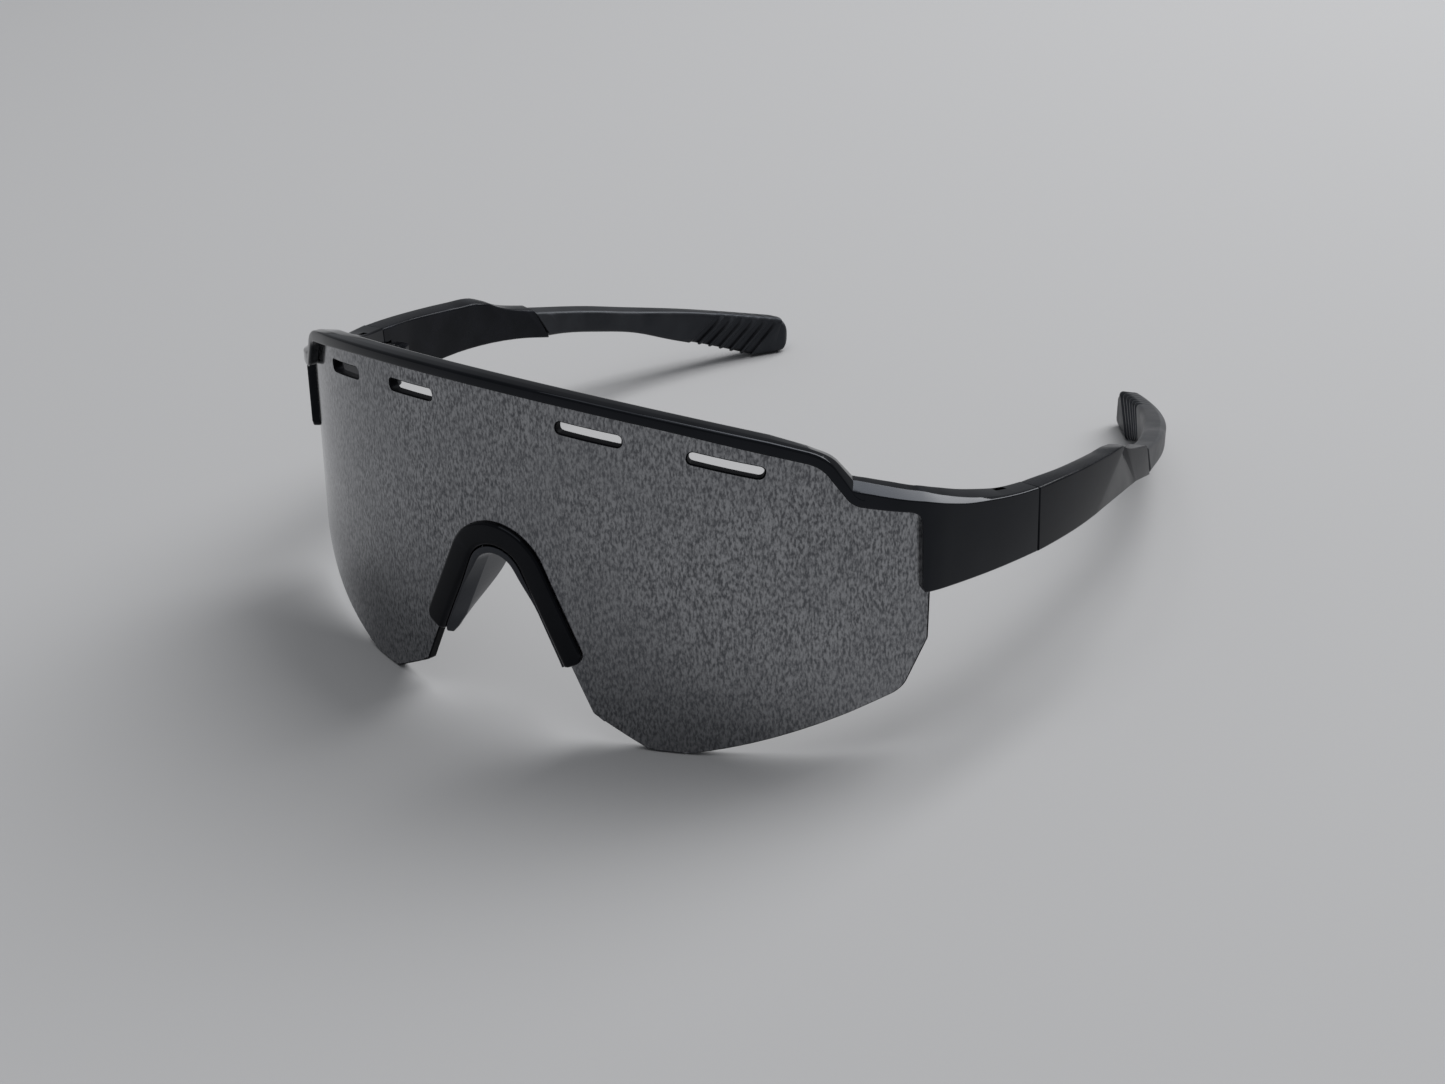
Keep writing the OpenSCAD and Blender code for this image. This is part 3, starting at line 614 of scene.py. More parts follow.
# Lens
def lens_shape():
    """Curved plate with eased edges: the front view, cut into narrow strips, carried to the cylinder."""
    outline = lens_half()
    loops = [spread(outline + mirrored(outline)[1:-1] + outline[:1], OUTLINE_STEP)[:-1]]
    for x in VENT_XS:
        loops += [vent(x), mirrored(vent(x))]
    bm = bmesh.new()
    for loop in loops:
        verts = [bm.verts.new((p.x, p.y, 0)) for p in loop]
        for a, b in zip(verts, verts[1:] + verts[:1]):
            bm.edges.new((a, b))
    bmesh.ops.triangle_fill(bm, use_beauty=True, edges=bm.edges[:])
    for i in range(1, LENS_STRIPS):
        x = LENS_HALF_W * (2 * i / LENS_STRIPS - 1)
        parts = bm.verts[:] + bm.edges[:] + bm.faces[:]
        bmesh.ops.bisect_plane(bm, geom=parts, dist=1e-5, plane_co=(x, 0, 0), plane_no=(1, 0, 0))
    bm.verts.index_update()
    outward = {}
    rim = [e for e in bm.edges if len(e.link_faces) == 1]
    for e in rim:
        a, b = e.verts
        normal = flat(b.co.y - a.co.y, a.co.x - b.co.x).normalized()
        middle = e.link_faces[0].calc_center_median() - (a.co + b.co) / 2
        if normal.dot(middle.xy) > 0:
            normal = -normal
        for v in (a, b):
            outward.setdefault(v.index, []).append(normal)
    shift = {}
    for i, normals in outward.items():
        n0, n1 = normals[0], normals[-1]
        shift[i] = (n0 + n1) / (1 + max(MITRE_LIMIT, n0.dot(n1)))
    flat_points = [v.co.xy for v in bm.verts]
    n = len(flat_points)

    def layer(depth, inset):
        place = [p - shift[i] * inset if i in shift else p for i, p in enumerate(flat_points)]
        return [on_lens(p.x, p.y, depth) for p in place]

    layers = [(0, LENS_EDGE), (LENS_EDGE, 0), (LENS_T - LENS_EDGE, 0), (LENS_T, LENS_EDGE)]
    shape = Shape()
    front = [tuple(v.index for v in f.verts) for f in bm.faces]
    points = [p for depth, inset in layers for p in layer(depth, inset)]
    walls = []
    for e in rim:
        a, b = (v.index for v in e.verts)
        walls += [(k * n + a, k * n + b, (k + 1) * n + b, (k + 1) * n + a) for k in range(3)]
    back = [tuple(3 * n + i for i in reversed(f)) for f in front]
    bm.free()
    shape.add(points, front, 0)
    for faces in (walls, back):
        shape.faces += faces
        shape.kinds += [1] * len(faces)
    return shape


lens = to_object("lens_shield", lens_shape())
dress(lens, "front", "shield_lens", "mirror_lens", SHADE_HARD, MIRROR, SMOKE)


# Brow frame
def rim_proud(x):
    """How far the rim's front face stands before the lens: an offset cylinder through both ends."""
    a = math.asin(x / LENS_R)
    span = ARM_FRONT.dot(ARM_FRONT) - RIM_PROUD ** 2
    centre = span / (2 * (ARM_FRONT.y + RIM_PROUD))
    d = centre - LENS_R
    return -d * math.cos(a) + math.sqrt((centre + RIM_PROUD) ** 2 - (d * math.sin(a)) ** 2) - LENS_R


# Top of the run and the arm: distance from the strip, then the chamfer's depth, its rise and the inner
# edge's rise above the outer edge
TOP_CHAMFER = [
    (-12, 2.0, 1.25, 1.3), (-5, 2.0, 1.15, 1.35), (0, 1.95, 1.05, 1.5),
    (4, 1.7, 0.95, 1.7), (8, 1.35, 0.75, 1.5), (12, 1.0, 0.45, 1.05),
    (16, 0.8, 0.18, 0.55), (20, 0.7, 0.08, 0.15), (27, 0.5, 0.05, -0.1),
]
# Section of the rim on the bar and on the step: height of its front face, depth and rise of the chamfer,
# rise of the inner edge, radius of the crest and of the inner edge
BAR_SECTION = (1.85, 1.5, 0.12, 0.12, 0.5, 1.0)
STEP_SECTION = (1.1, 2.0, 1.0, 1.3, 0.3, 0.6)
STEP_BEGIN, STEP_GROWTH = 49.0, 4.5
RUN_CREST, RUN_INNER = 0.3, 0.5
# Radii of the section's other corners, those at the groove limited to a share of its depth
RIM_FRONT_R, RIM_BACK_R, GROOVE_MOUTH_R, GROOVE_ROOT_R, GROOVE_SHARE = 0.35, 0.2, 0.12, 0.05, 0.4
# The bar sinks into the run, and the run rises out of it: place, length and depth
HAND_OVER_X, HAND_OVER_W, HAND_OVER_DIP = 54.9, 1.4, 0.06
# The arm's first section lies this far behind the strip; the lens's groove fades out in it
ARM_FIRST, ARM_GROOVE, ARM_NECK = 0.65, 0.1, 0.37
# The bar's top is drawn down where it turns into the step: place, width, and depth at the crest and inside
TURN_X, TURN_W, TURN_CREST, TURN_INNER = 49.4, 1.9, 0.25, 0.45
# Slant of the sections at the strip's bend, so that run and arm meet in one plane
RUN_SLANT, ARM_SLANT, SLANT_LEN = 0.156, 0.25, 5.0
# Height of the arm's outer top edge, as (y, z)
ARM_TOPS = [
    (22.5, 45.95), (26.05, 44.85), (30.5, 43.4), (35.0, 42.15), (41.0, 41.15), (46.0, 40.5), (51.3, 40.0),
]


def top_chamfer(s):
    return [curve([(row[0], row[k]) for row in TOP_CHAMFER], s) for k in (1, 2, 3)]


def corner_ease(s):
    """How far the outer face is drawn in so that the strip's corner becomes a gentle bend."""
    turn = STRIP_A - ARM_START - CORNER_SPARE
    return max(0.0, CORNER_BLEND - abs(s)) ** 2 * math.sin(turn) / (4 * CORNER_BLEND)


def strip_distance(x):
    return (math.asin(min(1.0, abs(x) / LENS_R)) - STRIP_A) * LENS_R


def rim_lip(x):
    """How far the rim's front edge hangs below the opening's line."""
    return RIM_LIP * smooth((abs(x) - RIM_LIP_START) / (RIM_LIP_END - RIM_LIP_START))


def rim_section(proud, back, lip, groove, height, depth, rise, inner_rise, crest, inner_round):
    """Channel section (u ahead of the lens, v up from the opening) around the lens's upper edge."""
    front_wall, back_wall = FIT, -LENS_T - FIT
    points = [
        (front_wall, 0), (proud, -lip), (proud, height), (proud - depth, height + rise),
        (back, height + inner_rise), (back, 0), (back_wall, 0), (back_wall, groove), (front_wall, groove),
    ]
    mouth = min(GROOVE_MOUTH_R, GROOVE_SHARE * groove)
    root = min(GROOVE_ROOT_R, GROOVE_SHARE * groove)
    radii = [mouth, RIM_FRONT_R, crest, RIM_FRONT_R, inner_round, RIM_BACK_R, mouth, root, root]
    return rounded([flat(*p) for p in points], radii)


def sunk(section, depth):
    """The section with every point drawn in by depth."""
    low = flat(min(p.x for p in section), min(p.y for p in section))
    high = flat(max(p.x for p in section), max(p.y for p in section))
    middle = (low + high) / 2
    out = []
    for p in section:
        inward = flat(math.copysign(depth, p.x - middle.x), math.copysign(depth, p.y - middle.y))
        out.append(p - inward)
    return out


def lens_frame(p):
    """Point of the opening's line on the lens and the direction ahead of it."""
    place = on_lens(p.x, p.y)
    return place, Vector((place.x, place.y - LENS_R, 0)).normalized()


def bar_rings():
    """Brow bar: one section carried along the opening, down both steps, ending inside the runs."""
    half = [p for p in opening_half() if p.x < RUN_X + BAR_OVERLAP]
    path = mirrored(half)[:-1] + half
    places = [on_lens(p.x, p.y) for p in path]
    rings = []
    for i, p in enumerate(path):
        along = (places[min(i + 1, len(places) - 1)] - places[max(i - 1, 0)]).normalized()
        place, ahead = lens_frame(p)
        up = ahead.cross(along).normalized()
        growth = smooth((abs(p.x) - STEP_BEGIN) / STEP_GROWTH)
        blend = [lerp(a, b, growth) for a, b in zip(BAR_SECTION, STEP_SECTION)]
        height, depth, rise, inner_rise, *radii = blend
        turn = math.exp(-((abs(p.x) - TURN_X) / TURN_W) ** 2)
        sizes = (height - TURN_CREST * turn, depth, rise, inner_rise - TURN_INNER * turn, *radii)
        section = rim_section(rim_proud(p.x), RIM_INSIDE, rim_lip(p.x), GROOVE + FIT, *sizes)
        section = sunk(section, HAND_OVER_DIP * smooth((abs(p.x) - HAND_OVER_X) / HAND_OVER_W))
        rings.append([place + ahead * q.x + up * q.y for q in section])
    return rings


def run_rings():
    """Low run from inside the step to the strip; its top is the arm's chamfer carried on."""
    opening = opening_half()
    first = RUN_X - RUN_OVERLAP
    xs = [lerp(first, STRIP_X, i / RUN_STEPS) for i in range(RUN_STEPS + 1)]
    rings = []
    for x in xs:
        share = (x - RUN_X) / (STRIP_X - RUN_X)
        over = min(STRIP_ROUND, max(0.0, x - STRIP_X + STRIP_ROUND))
        fillet = STRIP_ROUND - math.sqrt(STRIP_ROUND ** 2 - over ** 2)
        foot = line_z(opening, x) - fillet
        top = RUN_Z - RUN_DROP * share + lerp(RUN_H, STRIP_H, share)
        place, ahead = lens_frame(flat(x, foot))
        along = Vector((-ahead.y, ahead.x, 0))
        s = strip_distance(x)
        slant = RUN_SLANT * smooth(1 + s / SLANT_LEN)
        proud = rim_proud(x) - corner_ease(s)
        sizes = (top - foot, *top_chamfer(s), RUN_CREST, RUN_INNER)
        section = rim_section(proud, RIM_INSIDE, rim_lip(x), GROOVE + FIT, *sizes)
        sink = HAND_OVER_DIP * (1 - smooth((x - HAND_OVER_X) / HAND_OVER_W))
        ring = []
        for q in sunk(section, sink):
            ring.append(place + ahead * q.x - along * (slant * (proud - q.x)) + Vector((0, 0, q.y)))
        rings.append(ring)
    return rings


def arm_foot(y):
    return ARM_FOOT_Z + ARM_FOOT_SLOPE * (HINGE_Y - y)


def arm_plan(s):
    """Outer and inner point of the arm's plan at distance s behind the strip."""
    a = lerp(ARM_START, ARM_END, s / ARM_LEN)
    normal, along = flat(math.cos(a), -math.sin(a)), flat(math.sin(a), math.cos(a))
    outer = ARM_C + (ARM_R - corner_ease(s)) * normal
    bend = 1 - smooth(s / SLANT_LEN)
    return outer, outer - (HINGE_T - ARM_NECK * bend) * (normal - along * (ARM_SLANT * bend))


def arm_ring(s, inset=0.0):
    """Section of the arm at distance s behind the strip, as points around it."""
    outer, inner = arm_plan(s)
    wide = (outer - inner).length
    inward = (inner - outer) / wide
    over = max(0, ARM_CORNER_R - s + ARM_FIRST)
    lift = ARM_CORNER_R - math.sqrt(max(0, ARM_CORNER_R ** 2 - over ** 2))
    low, top = arm_foot(outer.y) + lift, curve(ARM_TOPS, outer.y)
    proud = RIM_PROUD_END - corner_ease(s)
    sizes = (top - low, *top_chamfer(s), RUN_CREST, RUN_INNER)
    section = sunk(rim_section(proud, proud - wide, 0.0, ARM_GROOVE, *sizes), inset)
    lean = SEAM_LEAN * smooth(2 * s / ARM_LEN - 1)
    ring = []
    for q in section:
        at = outer + inward * (proud - q.x)
        share = q.y / (top - low) - SEAM_PIVOT
        ring.append(Vector((at.x, at.y - lean * share, low + q.y)))
    return ring


def end_shape():
    """Run and arm in one skin, from inside the step to the hinge's seam."""
    last = ARM_LEN - FOLD_GAP / 2
    shape = Shape()
    rings = run_rings()
    rings += [arm_ring(lerp(ARM_FIRST, last - EDGE_EASE, i / ARM_STEPS)) for i in range(ARM_STEPS + 1)]
    rings.append(arm_ring(last, EDGE_EASE))
    shape.loft(rings)
    return shape


def knuckle_shapes(z, h, s):
    """A hinge barrel and the web that ties it to the part in front of (-1) or behind (+1) the seam."""
    barrel, web = Shape(), Shape()
    ease = KNUCKLE_EASE
    centre = Vector((AXIS_X, HINGE_Y, 0))
    end_r = KNUCKLE_R - ease
    barrel.lathe(centre, [(end_r, z), (KNUCKLE_R, z + ease), (KNUCKLE_R, z + h - ease), (end_r, z + h)])
    root, flank = AXIS_IN + HINGE_T / 2, -KNUCKLE_R + WEB_INSET
    plan = [(flank, 0), (flank, WEB_TOE), (0, WEB_LEN), (root, WEB_LEN), (root, 0)]
    rings = []
    low, high = z + CLEAR, z + h - CLEAR
    for depth, level in ((ease, low), (0, low + ease), (0, high - ease), (ease, high)):
        rings.append([centre + Vector((x + depth * 0.5 * (x < 0), s * y, level)) for x, y in plan])
    web.loft(rings)
    return barrel, web


def swing_room(z0, z1):
    """Cutter around a knuckle from z0 to z1, slightly past the gap so that no faces coincide."""
    shape = Shape()
    r = KNUCKLE_R + FOLD_GAP
    gap = FOLD_GAP + 3 * CLEAR
    shape.lathe(Vector((AXIS_X, HINGE_Y, 0)), [(r, z0 - gap), (r, z1 + gap)])
    return shape


def top_slot_shape():
    """Cutter for the short slot in the arm's inner top edge, ahead of the hinge."""
    a = lerp(ARM_START, ARM_END, TOP_SLOT_AT / ARM_LEN)
    normal, along = flat(math.cos(a), -math.sin(a)), flat(math.sin(a), math.cos(a))
    inner = ARM_C + (ARM_R - HINGE_T) * normal
    top = curve(ARM_TOPS, inner.y)
    half = TOP_SLOT_LEN / 2
    near, far = TOP_SLOT_IN, TOP_SLOT_IN + TOP_SLOT_W
    plan = [(near, -half), (far, -half), (far, half), (near, half)]
    shape = Shape()
    rings = []
    for z in (top - TOP_SLOT_DEPTH, top + TOP_SLOT_OVER):
        points = [inner + normal * u + along * v for u, v in plan]
        rings.append([Vector((q.x, q.y, z)) for q in points])
    shape.loft(rings)
    return shape


def end_piece():
    """Run, arm and hinge lugs of the wearer's left side."""
    arm = to_object("arm", end_shape())
    for z, height in ((LUG_LOW_Z, LUG_H), (LUG_TOP_Z, UPPER_LUG_H)):
        for part in knuckle_shapes(z, height, -1):
            combine(arm, to_object("lug", part), "UNION")
    combine(arm, to_object("room", swing_room(KNUCKLE_Z, KNUCKLE_Z + KNUCKLE_H)), "DIFFERENCE")
    return combine(arm, to_object("slot", top_slot_shape()), "DIFFERENCE")


def frame_object():
    """Brow bar with both end pieces, in one mesh."""
    bar = Shape()
    bar.loft(bar_rings())
    obj = to_object("brow_bar", bar)
    left = end_piece()
    right = twin(left, "end_right")
    combine(obj, left, "UNION")
    combine(obj, right, "UNION")
    return obj


dress(frame_object(), "front", "brow_frame", "frame_black", SHADE_HARD, GLOSS)


# Nose bridge and saddle
def nose_path(leg):
    """Line of the nose cut from one leg's end to the other, as (point, direction out of the arch)."""
    out = flat(math.cos(NOSE_ANGLE), math.sin(NOSE_ANGLE))
    down = flat(math.sin(NOSE_ANGLE), -math.cos(NOSE_ANGLE))
    root = flat(0, NOSE_Z) + out * NOSE_R
    right = [(root + down * (leg * (1 - i / NOSE_LEG_STEPS)), out) for i in range(NOSE_LEG_STEPS)]
    arch = []
    for i in range(NOSE_ARCH_STEPS + 1):
        a = lerp(NOSE_ANGLE, math.pi - NOSE_ANGLE, i / NOSE_ARCH_STEPS)
        away = flat(math.cos(a), math.sin(a))
        arch.append((flat(0, NOSE_Z) + NOSE_R * away, away))
    left = [(flat(-p.x, p.y), flat(-d.x, d.y)) for p, d in reversed(right)]
    return right + arch + left


def nose_ring(p, out, section):
    """Section (u ahead of the lens, v away from the arch) set on the lens's cylinder at p."""
    ring = []
    for q in section:
        at = p + out * q.y
        ring.append(on_lens(at.x, at.y, -q.x))
    return ring


def bridge_section(shrink_out, ease):
    """Channel section of the clip; its walls may be shortened and the whole eased inwards."""
    front, back = BRIDGE_WALL - ease, -LENS_T - BRIDGE_WALL + ease
    inner, outer = -BRIDGE_WEB + ease, BRIDGE_COVER - shrink_out - ease
    points = [
        (FIT, outer), (front, outer), (front, inner), (back, inner), (back, outer), (-LENS_T - FIT, outer),
        (-LENS_T - FIT, -FIT), (FIT, -FIT),
    ]
    return rounded([flat(*p) for p in points], BRIDGE_RADII)


def bridge_shape():
    """Clip around the nose cut's edge; its legs' outer corners are rounded off."""
    shape = Shape()
    path = nose_path(BRIDGE_LEG)
    down = flat(math.sin(NOSE_ANGLE), -math.cos(NOSE_ANGLE))
    first, out = path[0]
    right = []
    for s in BRIDGE_ENDS:
        over = BRIDGE_CORNER_R - s
        cut = BRIDGE_CORNER_R - math.sqrt(max(0, BRIDGE_CORNER_R ** 2 - over ** 2))
        right.append((first - down * s, out, cut, max(0.0, BRIDGE_END_EASE - s)))
    left = [(flat(-p.x, p.y), flat(-d.x, d.y), cut, ease) for p, d, cut, ease in reversed(right)]

    def beyond_ends(p):
        if p.x < 0:
            return (flat(-p.x, p.y) - first).length >= BRIDGE_END
        return abs((p - first).dot(down)) > BRIDGE_END

    body = [(p, d, 0.0, 0.0) for p, d in path if beyond_ends(p)]
    shape.loft([nose_ring(p, d, bridge_section(cut, ease)) for p, d, cut, ease in right + body + left])
    return shape


def saddle_section(reach, crown, ease):
    """Wing that starts thin behind the clip's face on the legs, thicker and further ahead on the crown."""
    inner, outer = -BRIDGE_WEB - SADDLE_T + ease, -BRIDGE_WEB - FIT - ease
    front, back = lerp(LEG_FRONT, CROWN_FRONT, crown) - ease, -LENS_T - reach + ease
    shoulder = max(back + SADDLE_REAR, SADDLE_SHOULDER)
    edge = outer - lerp(LEG_EDGE, CROWN_EDGE, crown)
    rear_in, rear_out = inner + SADDLE_REAR_IN, outer - SADDLE_REAR_OUT
    points = [(front, outer), (front, edge), (shoulder, inner), (back, rear_in), (back, rear_out)]
    return rounded([flat(*p) for p in points], SADDLE_RADII)


def saddle_shape():
    """Soft wing inside the clip, rounded off at its lower ends."""
    shape = Shape()
    rings = []
    path = nose_path(BRIDGE_LEG)
    first = path[0][0]
    for p, d in path:
        mirror = flat(abs(p.x), p.y)
        from_end = (mirror - first).length if p.y < NOSE_Z else BRIDGE_LEG
        reach = lerp(SADDLE_END, SADDLE_BACK, smooth(from_end / (SADDLE_RISE * BRIDGE_LEG)))
        crown = smooth((p.y - NOSE_Z + CROWN_START) / CROWN_GROWTH)
        ease = SADDLE_EASE if from_end < LEG_END else 0.0
        rings.append(nose_ring(p, d, saddle_section(reach, crown, ease)))
    shape.loft(rings)
    return shape


dress(to_object("nose_clip", bridge_shape()), "front", "nose_bridge", "bridge_black", SHADE_HARD, CLIP)
saddle = to_object("saddle_wing", saddle_shape())
dress(saddle, "front", "nose_saddle", "saddle_rubber", SHADE_SADDLE, SADDLE)


# Temples: stations of the facets before the grip, as (top y, foot y, inset of the outer face at its top,
# inset at its foot), then the outer top edge and the foot as (y, z), and the inner top edge's rise
FACETS = [
    (83.5, 72.0, 0.0, 0.0),
    (85.6, 93.6, 1.8, 0.5),
    (88.2, 94.6, 1.1, 0.6),
    (98.5, 103.0, 0.15, 0.15),
]
TEMPLE_TOPS = [
    (50.0, 40.05), (57.0, 39.35), (67.5, 38.1), (76.0, 37.0),
    (83.5, 35.9), (90.0, 32.9), (98.5, 30.3), (106, 28.4),
]
TEMPLE_FEET = [
    (50.0, 28.3), (65.7, 27.4), (76.0, 27.0), (86.0, 26.0), (95.0, 24.5), (103.0, 22.6), (108, 21.4),
]
TEMPLE_RIDGES = [(50.0, -0.1), (66.0, -0.3), (80.0, -0.4), (99.0, -0.5), (106, -0.5)]


def temple_place(y, depth):
    a = math.asin((y - TEMPLE_C.y) / TEMPLE_R)
    return TEMPLE_C + (TEMPLE_R - depth) * flat(math.cos(a), math.sin(a))


def temple_ring(top_y, foot_y, inset_top, inset_foot, ease=0.0):
    top, foot = curve(TEMPLE_TOPS, top_y) - ease, curve(TEMPLE_FEET, foot_y) + ease
    ridge = curve(TEMPLE_RIDGES, top_y)
    thick = lerp(HINGE_T, TEMPLE_T, smooth((top_y - HINGE_Y) / TEMPLE_THINNING)) - ease
    points = [(inset_foot + ease, foot), (inset_top + ease, top), (thick, top + ridge), (thick, foot)]
    section = rounded([flat(*p) for p in points], TEMPLE_RADII)
    ring = []
    for p in section:
        share = (p.y - foot) / (top - foot)
        place = temple_place(lerp(foot_y, top_y, share), p.x)
        ring.append(Vector((place.x, place.y, p.y)))
    return ring


def temple_shape():
    """Temple from the hinge's seam over its facets to the tongue inside the grip."""
    shape = Shape()
    ease = EDGE_EASE
    lean_top, lean_foot = (SEAM_PIVOT - 1) * SEAM_LEAN, SEAM_PIVOT * SEAM_LEAN
    seam = HINGE_Y + FOLD_GAP / 2
    rings = [temple_ring(seam + lean_top, seam + lean_foot, 0, 0, ease)]
    first = (seam + lean_top + ease, seam + lean_foot + ease, 0.0, 0.0)
    stations = [first] + FACETS
    for k, (a, b) in enumerate(zip(stations, stations[1:])):
        steps = TEMPLE_STEPS if k == 0 else FACET_STEPS
        for i in range(steps):
            rings.append(temple_ring(*[lerp(p, q, i / steps) for p, q in zip(a, b)]))
    last = stations[-1]
    rings.append(temple_ring(*last))
    rings.append(temple_ring(last[0] + ease, last[1] + ease, last[2], last[3], ease))
    for reach in (ease, TONGUE_LEN):
        rings.append(temple_ring(last[0] + reach, last[1] + reach, last[2], last[3], TONGUE_INSET))
    shape.loft(rings)
    return shape


def temple_object(name):
    obj = to_object(name, temple_shape())
    for part in knuckle_shapes(KNUCKLE_Z, KNUCKLE_H, 1):
        combine(obj, to_object("knuckle", part), "UNION")
    for z0, z1 in ((HINGE_FOOT_Z - ROOM_BELOW, LUG_LOW_Z + LUG_H), (LUG_TOP_Z, STACK_TOP_Z)):
        combine(obj, to_object("room", swing_room(z0, z1)), "DIFFERENCE")
    return obj


# Ear grips
SEAM_TOP_Y, SEAM_FOOT_Y = FACETS[-1][0], FACETS[-1][1]
SEAM_TOP_Z = curve(TEMPLE_TOPS, SEAM_TOP_Y)
SEAM_FOOT_Z = curve(TEMPLE_FEET, SEAM_FOOT_Y)


def grip_top(y):
    share = (y - SEAM_TOP_Y) / (TIP_Y - SEAM_TOP_Y)
    z = lerp(SEAM_TOP_Z, table_z(TIP_Y) + TIP_H, share)
    over = max(0.0, y - (TIP_Y - TIP_ROUND))
    return z - TIP_ROUND + math.sqrt(max(0, TIP_ROUND ** 2 - min(over, TIP_ROUND) ** 2))


def grip_foot(y):
    flat_y = TIP_Y - TIP_FLAT
    share = (y - SEAM_FOOT_Y) / (flat_y - SEAM_FOOT_Y)
    if share < 1:
        z = lerp(SEAM_FOOT_Z, table_z(flat_y), share) + 4 * GRIP_ARCH * share * (1 - share)
    else:
        z = table_z(y)
    over = max(0.0, y - (TIP_Y - TIP_HEEL))
    return z + TIP_HEEL - math.sqrt(max(0, TIP_HEEL ** 2 - min(over, TIP_HEEL) ** 2))


def grip_ring(s, outer_lean, inner_lean, groove=0.0, ease=0.0):
    """Section at distance s from the seam; its faces may lean along it, and a groove thins it inside."""
    a = SEAM_A + s / GRIP_R
    y = GRIP_C.y + GRIP_R * math.sin(a)
    top, foot = grip_top(y) - ease, grip_foot(y) + ease
    grown = smooth(s / GRIP_GROWTH)
    thick = lerp(TEMPLE_T, GRIP_T, grown) - groove - ease
    room = min(1.0, (top - foot) / GRIP_LOW)
    lip = lerp(LIP_START, LIP_END, grown) * room
    points = [
        (ease, foot), (ease, top - lip * LIP_DROP), (ease + lip * LIP_W, top),
        (thick, top - INNER_DROP * room), (thick, foot),
    ]
    section = rounded([flat(*p) for p in points], [r * room for r in GRIP_RADII])
    ring = []
    for p in section:
        share = (p.y - foot) / (top - foot) - 0.5
        deep = p.x / GRIP_T
        at = a + share * lerp(outer_lean, inner_lean, deep) / GRIP_R
        place = GRIP_C + (GRIP_R - p.x) * flat(math.cos(at), math.sin(at))
        ring.append(Vector((place.x, place.y, p.y)))
    return ring


def grip_shape():
    """Sleeve from the temple's leaning seam over the ribs to the rounded tip."""
    shape = Shape()
    seam_lean = SEAM_TOP_Y - SEAM_FOOT_Y
    start = ((SEAM_TOP_Y + SEAM_FOOT_Y) / 2 - SEAM_OUT.y) + GRIP_GAP
    rib_lean = math.tan(RIB_LEAN) * TIP_H
    first_rib = GRIP_LEN - RIB_START - (RIB_GROOVES - 0.5) * RIB_PITCH
    rings = [grip_ring(start, seam_lean, seam_lean, 0, GRIP_EASE)]
    for i in range(GRIP_STEPS + 1):
        s = lerp(start + GRIP_EASE, first_rib - RIB_RUN_IN, i / GRIP_STEPS)
        calm = 1 - smooth((s - start) / GRIP_CALM)
        lean = smooth((s - first_rib + RIB_LEAD) / RIB_TURN)
        rings.append(grip_ring(s, seam_lean * calm, lerp(seam_lean * calm, rib_lean, lean)))
    half = (RIB_PITCH - RIB_W) / 2
    mouth, floor_half = half + RIB_WALL, half - RIB_WALL
    walls = [(-mouth, 0), (-floor_half, RIB_DEPTH), (floor_half, RIB_DEPTH), (mouth, 0)]
    for k in range(RIB_GROOVES):
        middle = first_rib + (k + 0.5) * RIB_PITCH
        for off, depth in walls:
            rings.append(grip_ring(middle + off, 0, rib_lean, depth))
    last = first_rib + RIB_GROOVES * RIB_PITCH
    cap = GRIP_LEN - TIP_CAP
    for i in range(1, TIP_STEPS + 1):
        s = lerp(last, cap, i / TIP_STEPS)
        rings.append(grip_ring(s, 0, rib_lean * (1 - smooth(i / TIP_STEPS))))
    for i in range(1, TIP_STEPS + 1):
        turn = math.pi / 2 * i / TIP_TURN_STEPS
        rings.append(grip_ring(cap + TIP_CAP * math.sin(turn), 0, 0, 0, TIP_CAP * (1 - math.cos(turn))))
    shape.loft(rings)
    return shape


# Hinge screws and nuts
def screw_shape():
    """Slotted hinge screw, its domed head below."""
    shape = Shape()
    r, head = SCREW_D / 2, HEAD_D / 2
    face, seat = LUG_LOW_Z - HEAD_PROUD, LUG_LOW_Z + HEAD_H
    profile = [(head * wide, face + HEAD_H * high) for wide, high in HEAD_DOME]
    profile += [
        (head, seat - SEAT_EASE), (head - SEAT_IN, seat), (r, seat),
        (r, STACK_TOP_Z - POINT_EASE), (r * POINT_SHARE, STACK_TOP_Z + HEAD_PROUD),
    ]
    shape.lathe(Vector((AXIS_X, HINGE_Y, 0)), profile, SCREW_SIDES)
    return shape


def screw_slot_shape():
    """Cutter for the slot in the screw's head."""
    shape = Shape()
    half_w, half_l = SCREW_SLOT_W / 2, HEAD_D
    rings = []
    for z in (LUG_LOW_Z - SCREW_SLOT_OVER, LUG_LOW_Z + HEAD_H * SCREW_SLOT_SHARE):
        box = ((-half_w, -half_l), (half_w, -half_l), (half_w, half_l), (-half_w, half_l))
        rings.append([Vector((AXIS_X + x, HINGE_Y + y, z)) for x, y in box])
    shape.loft(rings)
    return shape


def nut_shape():
    """Hexagonal nut with chamfered corners."""
    shape = Shape()
    r = NUT_W / 2 / math.cos(math.pi / 6)
    rings = []
    for z, ease in ((0, NUT_EASE), (NUT_CHAMFER, 0), (NUT_H - NUT_CHAMFER, 0), (NUT_H, NUT_EASE)):
        angles = [math.pi / 3 * i for i in range(6)]
        centre = Vector((AXIS_X, HINGE_Y, STACK_TOP_Z + HEAD_PROUD / 2 - NUT_H + z))
        rings.append([centre + (r - ease) * Vector((math.cos(a), math.sin(a), 0)) for a in angles])
    shape.loft(rings)
    return shape


def dress_pair(obj, node, slot, angle, material, body=None):
    """Puts a left piece and its mirrored twin on both sides."""
    name = obj.name
    other = twin(obj, f"{name}_right")
    obj.name = f"{name}_left"
    for piece, word in ((obj, "left"), (other, "right")):
        dress(piece, body or f"{word}_temple", f"{node}_{word}", slot, angle, material)


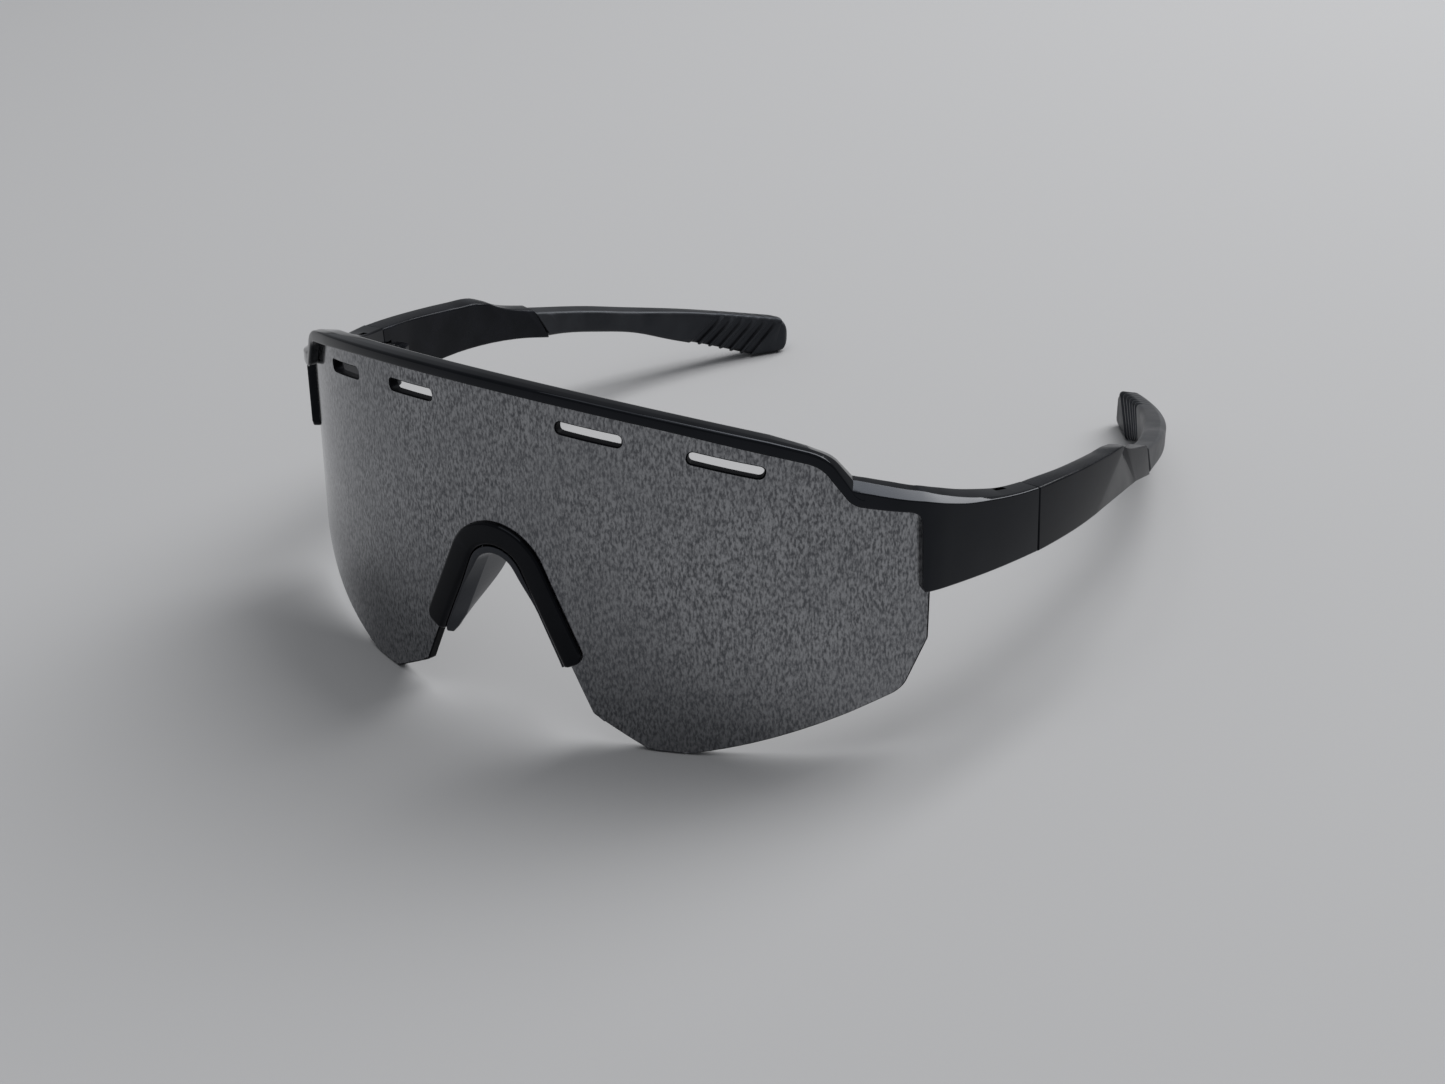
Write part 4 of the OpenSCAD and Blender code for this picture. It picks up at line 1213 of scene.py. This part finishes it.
screw = combine(to_object("screw", screw_shape()), to_object("slot", screw_slot_shape()), "DIFFERENCE")
dress_pair(temple_object("temple_arm"), "temple", "temple_black", SHADE_FACETS, SATIN)
dress_pair(to_object("grip_sleeve", grip_shape()), "ear_grip", "grip_rubber", SHADE_GRIP, RUBBER)
dress_pair(screw, "hinge_screw", "hinge_steel", SHADE_HARD, STEEL, "front")
dress_pair(to_object("nut", nut_shape()), "hinge_nut", "hinge_steel", SHADE_HARD, STEEL, "front")


# Floor, light and camera
def floor():
    bpy.ops.mesh.primitive_plane_add(size=FLOOR_SIZE)
    obj = bpy.context.object
    obj.name = "floor"
    material, _, _, shader = node_material("floor_pale")
    shader.inputs["Base Color"].default_value = FLOOR_COLOUR
    shader.inputs["Roughness"].default_value = FLOOR_ROUGH
    shader.inputs["Specular IOR Level"].default_value = FLOOR_SPECULAR
    obj.data.materials.append(material)


def soft_light(name, place, size, power):
    """Rectangular soft light aimed at the glasses."""
    light = bpy.data.lights.new(name, "AREA")
    light.shape = "RECTANGLE"
    light.size, light.size_y = size
    light.energy = power
    obj = bpy.data.objects.new(name, light)
    obj.location = place
    obj.rotation_euler = (Vector(LIGHT_TARGET) - Vector(place)).to_track_quat("-Z", "Y").to_euler()
    bpy.context.scene.collection.objects.link(obj)


def camera():
    """The photograph's own viewpoint and field of view."""
    data = bpy.data.cameras.new("camera")
    data.sensor_width = SENSOR
    data.lens = SENSOR * FOCAL_PX / PHOTO_W
    data.clip_start, data.clip_end = 0.01, 50
    obj = bpy.data.objects.new("camera", data)
    back = (CAMERA_AT - CAMERA_TARGET).normalized()
    right = Vector((0, 0, 1)).cross(back).normalized()
    up = back.cross(right)
    turn = Matrix((right, up, back)).transposed().to_4x4()
    obj.matrix_world = Matrix.Translation(STAND @ CAMERA_AT) @ TURN @ turn
    bpy.context.scene.collection.objects.link(obj)
    bpy.context.scene.camera = obj


floor()
soft_light("sky_panel", place=(0.28, 0.9, 1.18), size=(0.85, 1.55), power=22)
soft_light("front_panel", place=(0, -0.2, 1.5), size=(1.2, 1.2), power=5)
world = bpy.data.worlds.new("studio")
world.use_nodes = True
sky = world.node_tree.nodes["Background"]
sky.inputs["Color"].default_value = SKY_COLOUR
sky.inputs["Strength"].default_value = SKY_STRENGTH
bpy.context.scene.world = world
camera()
bpy.context.scene.view_settings.view_transform = "Standard"
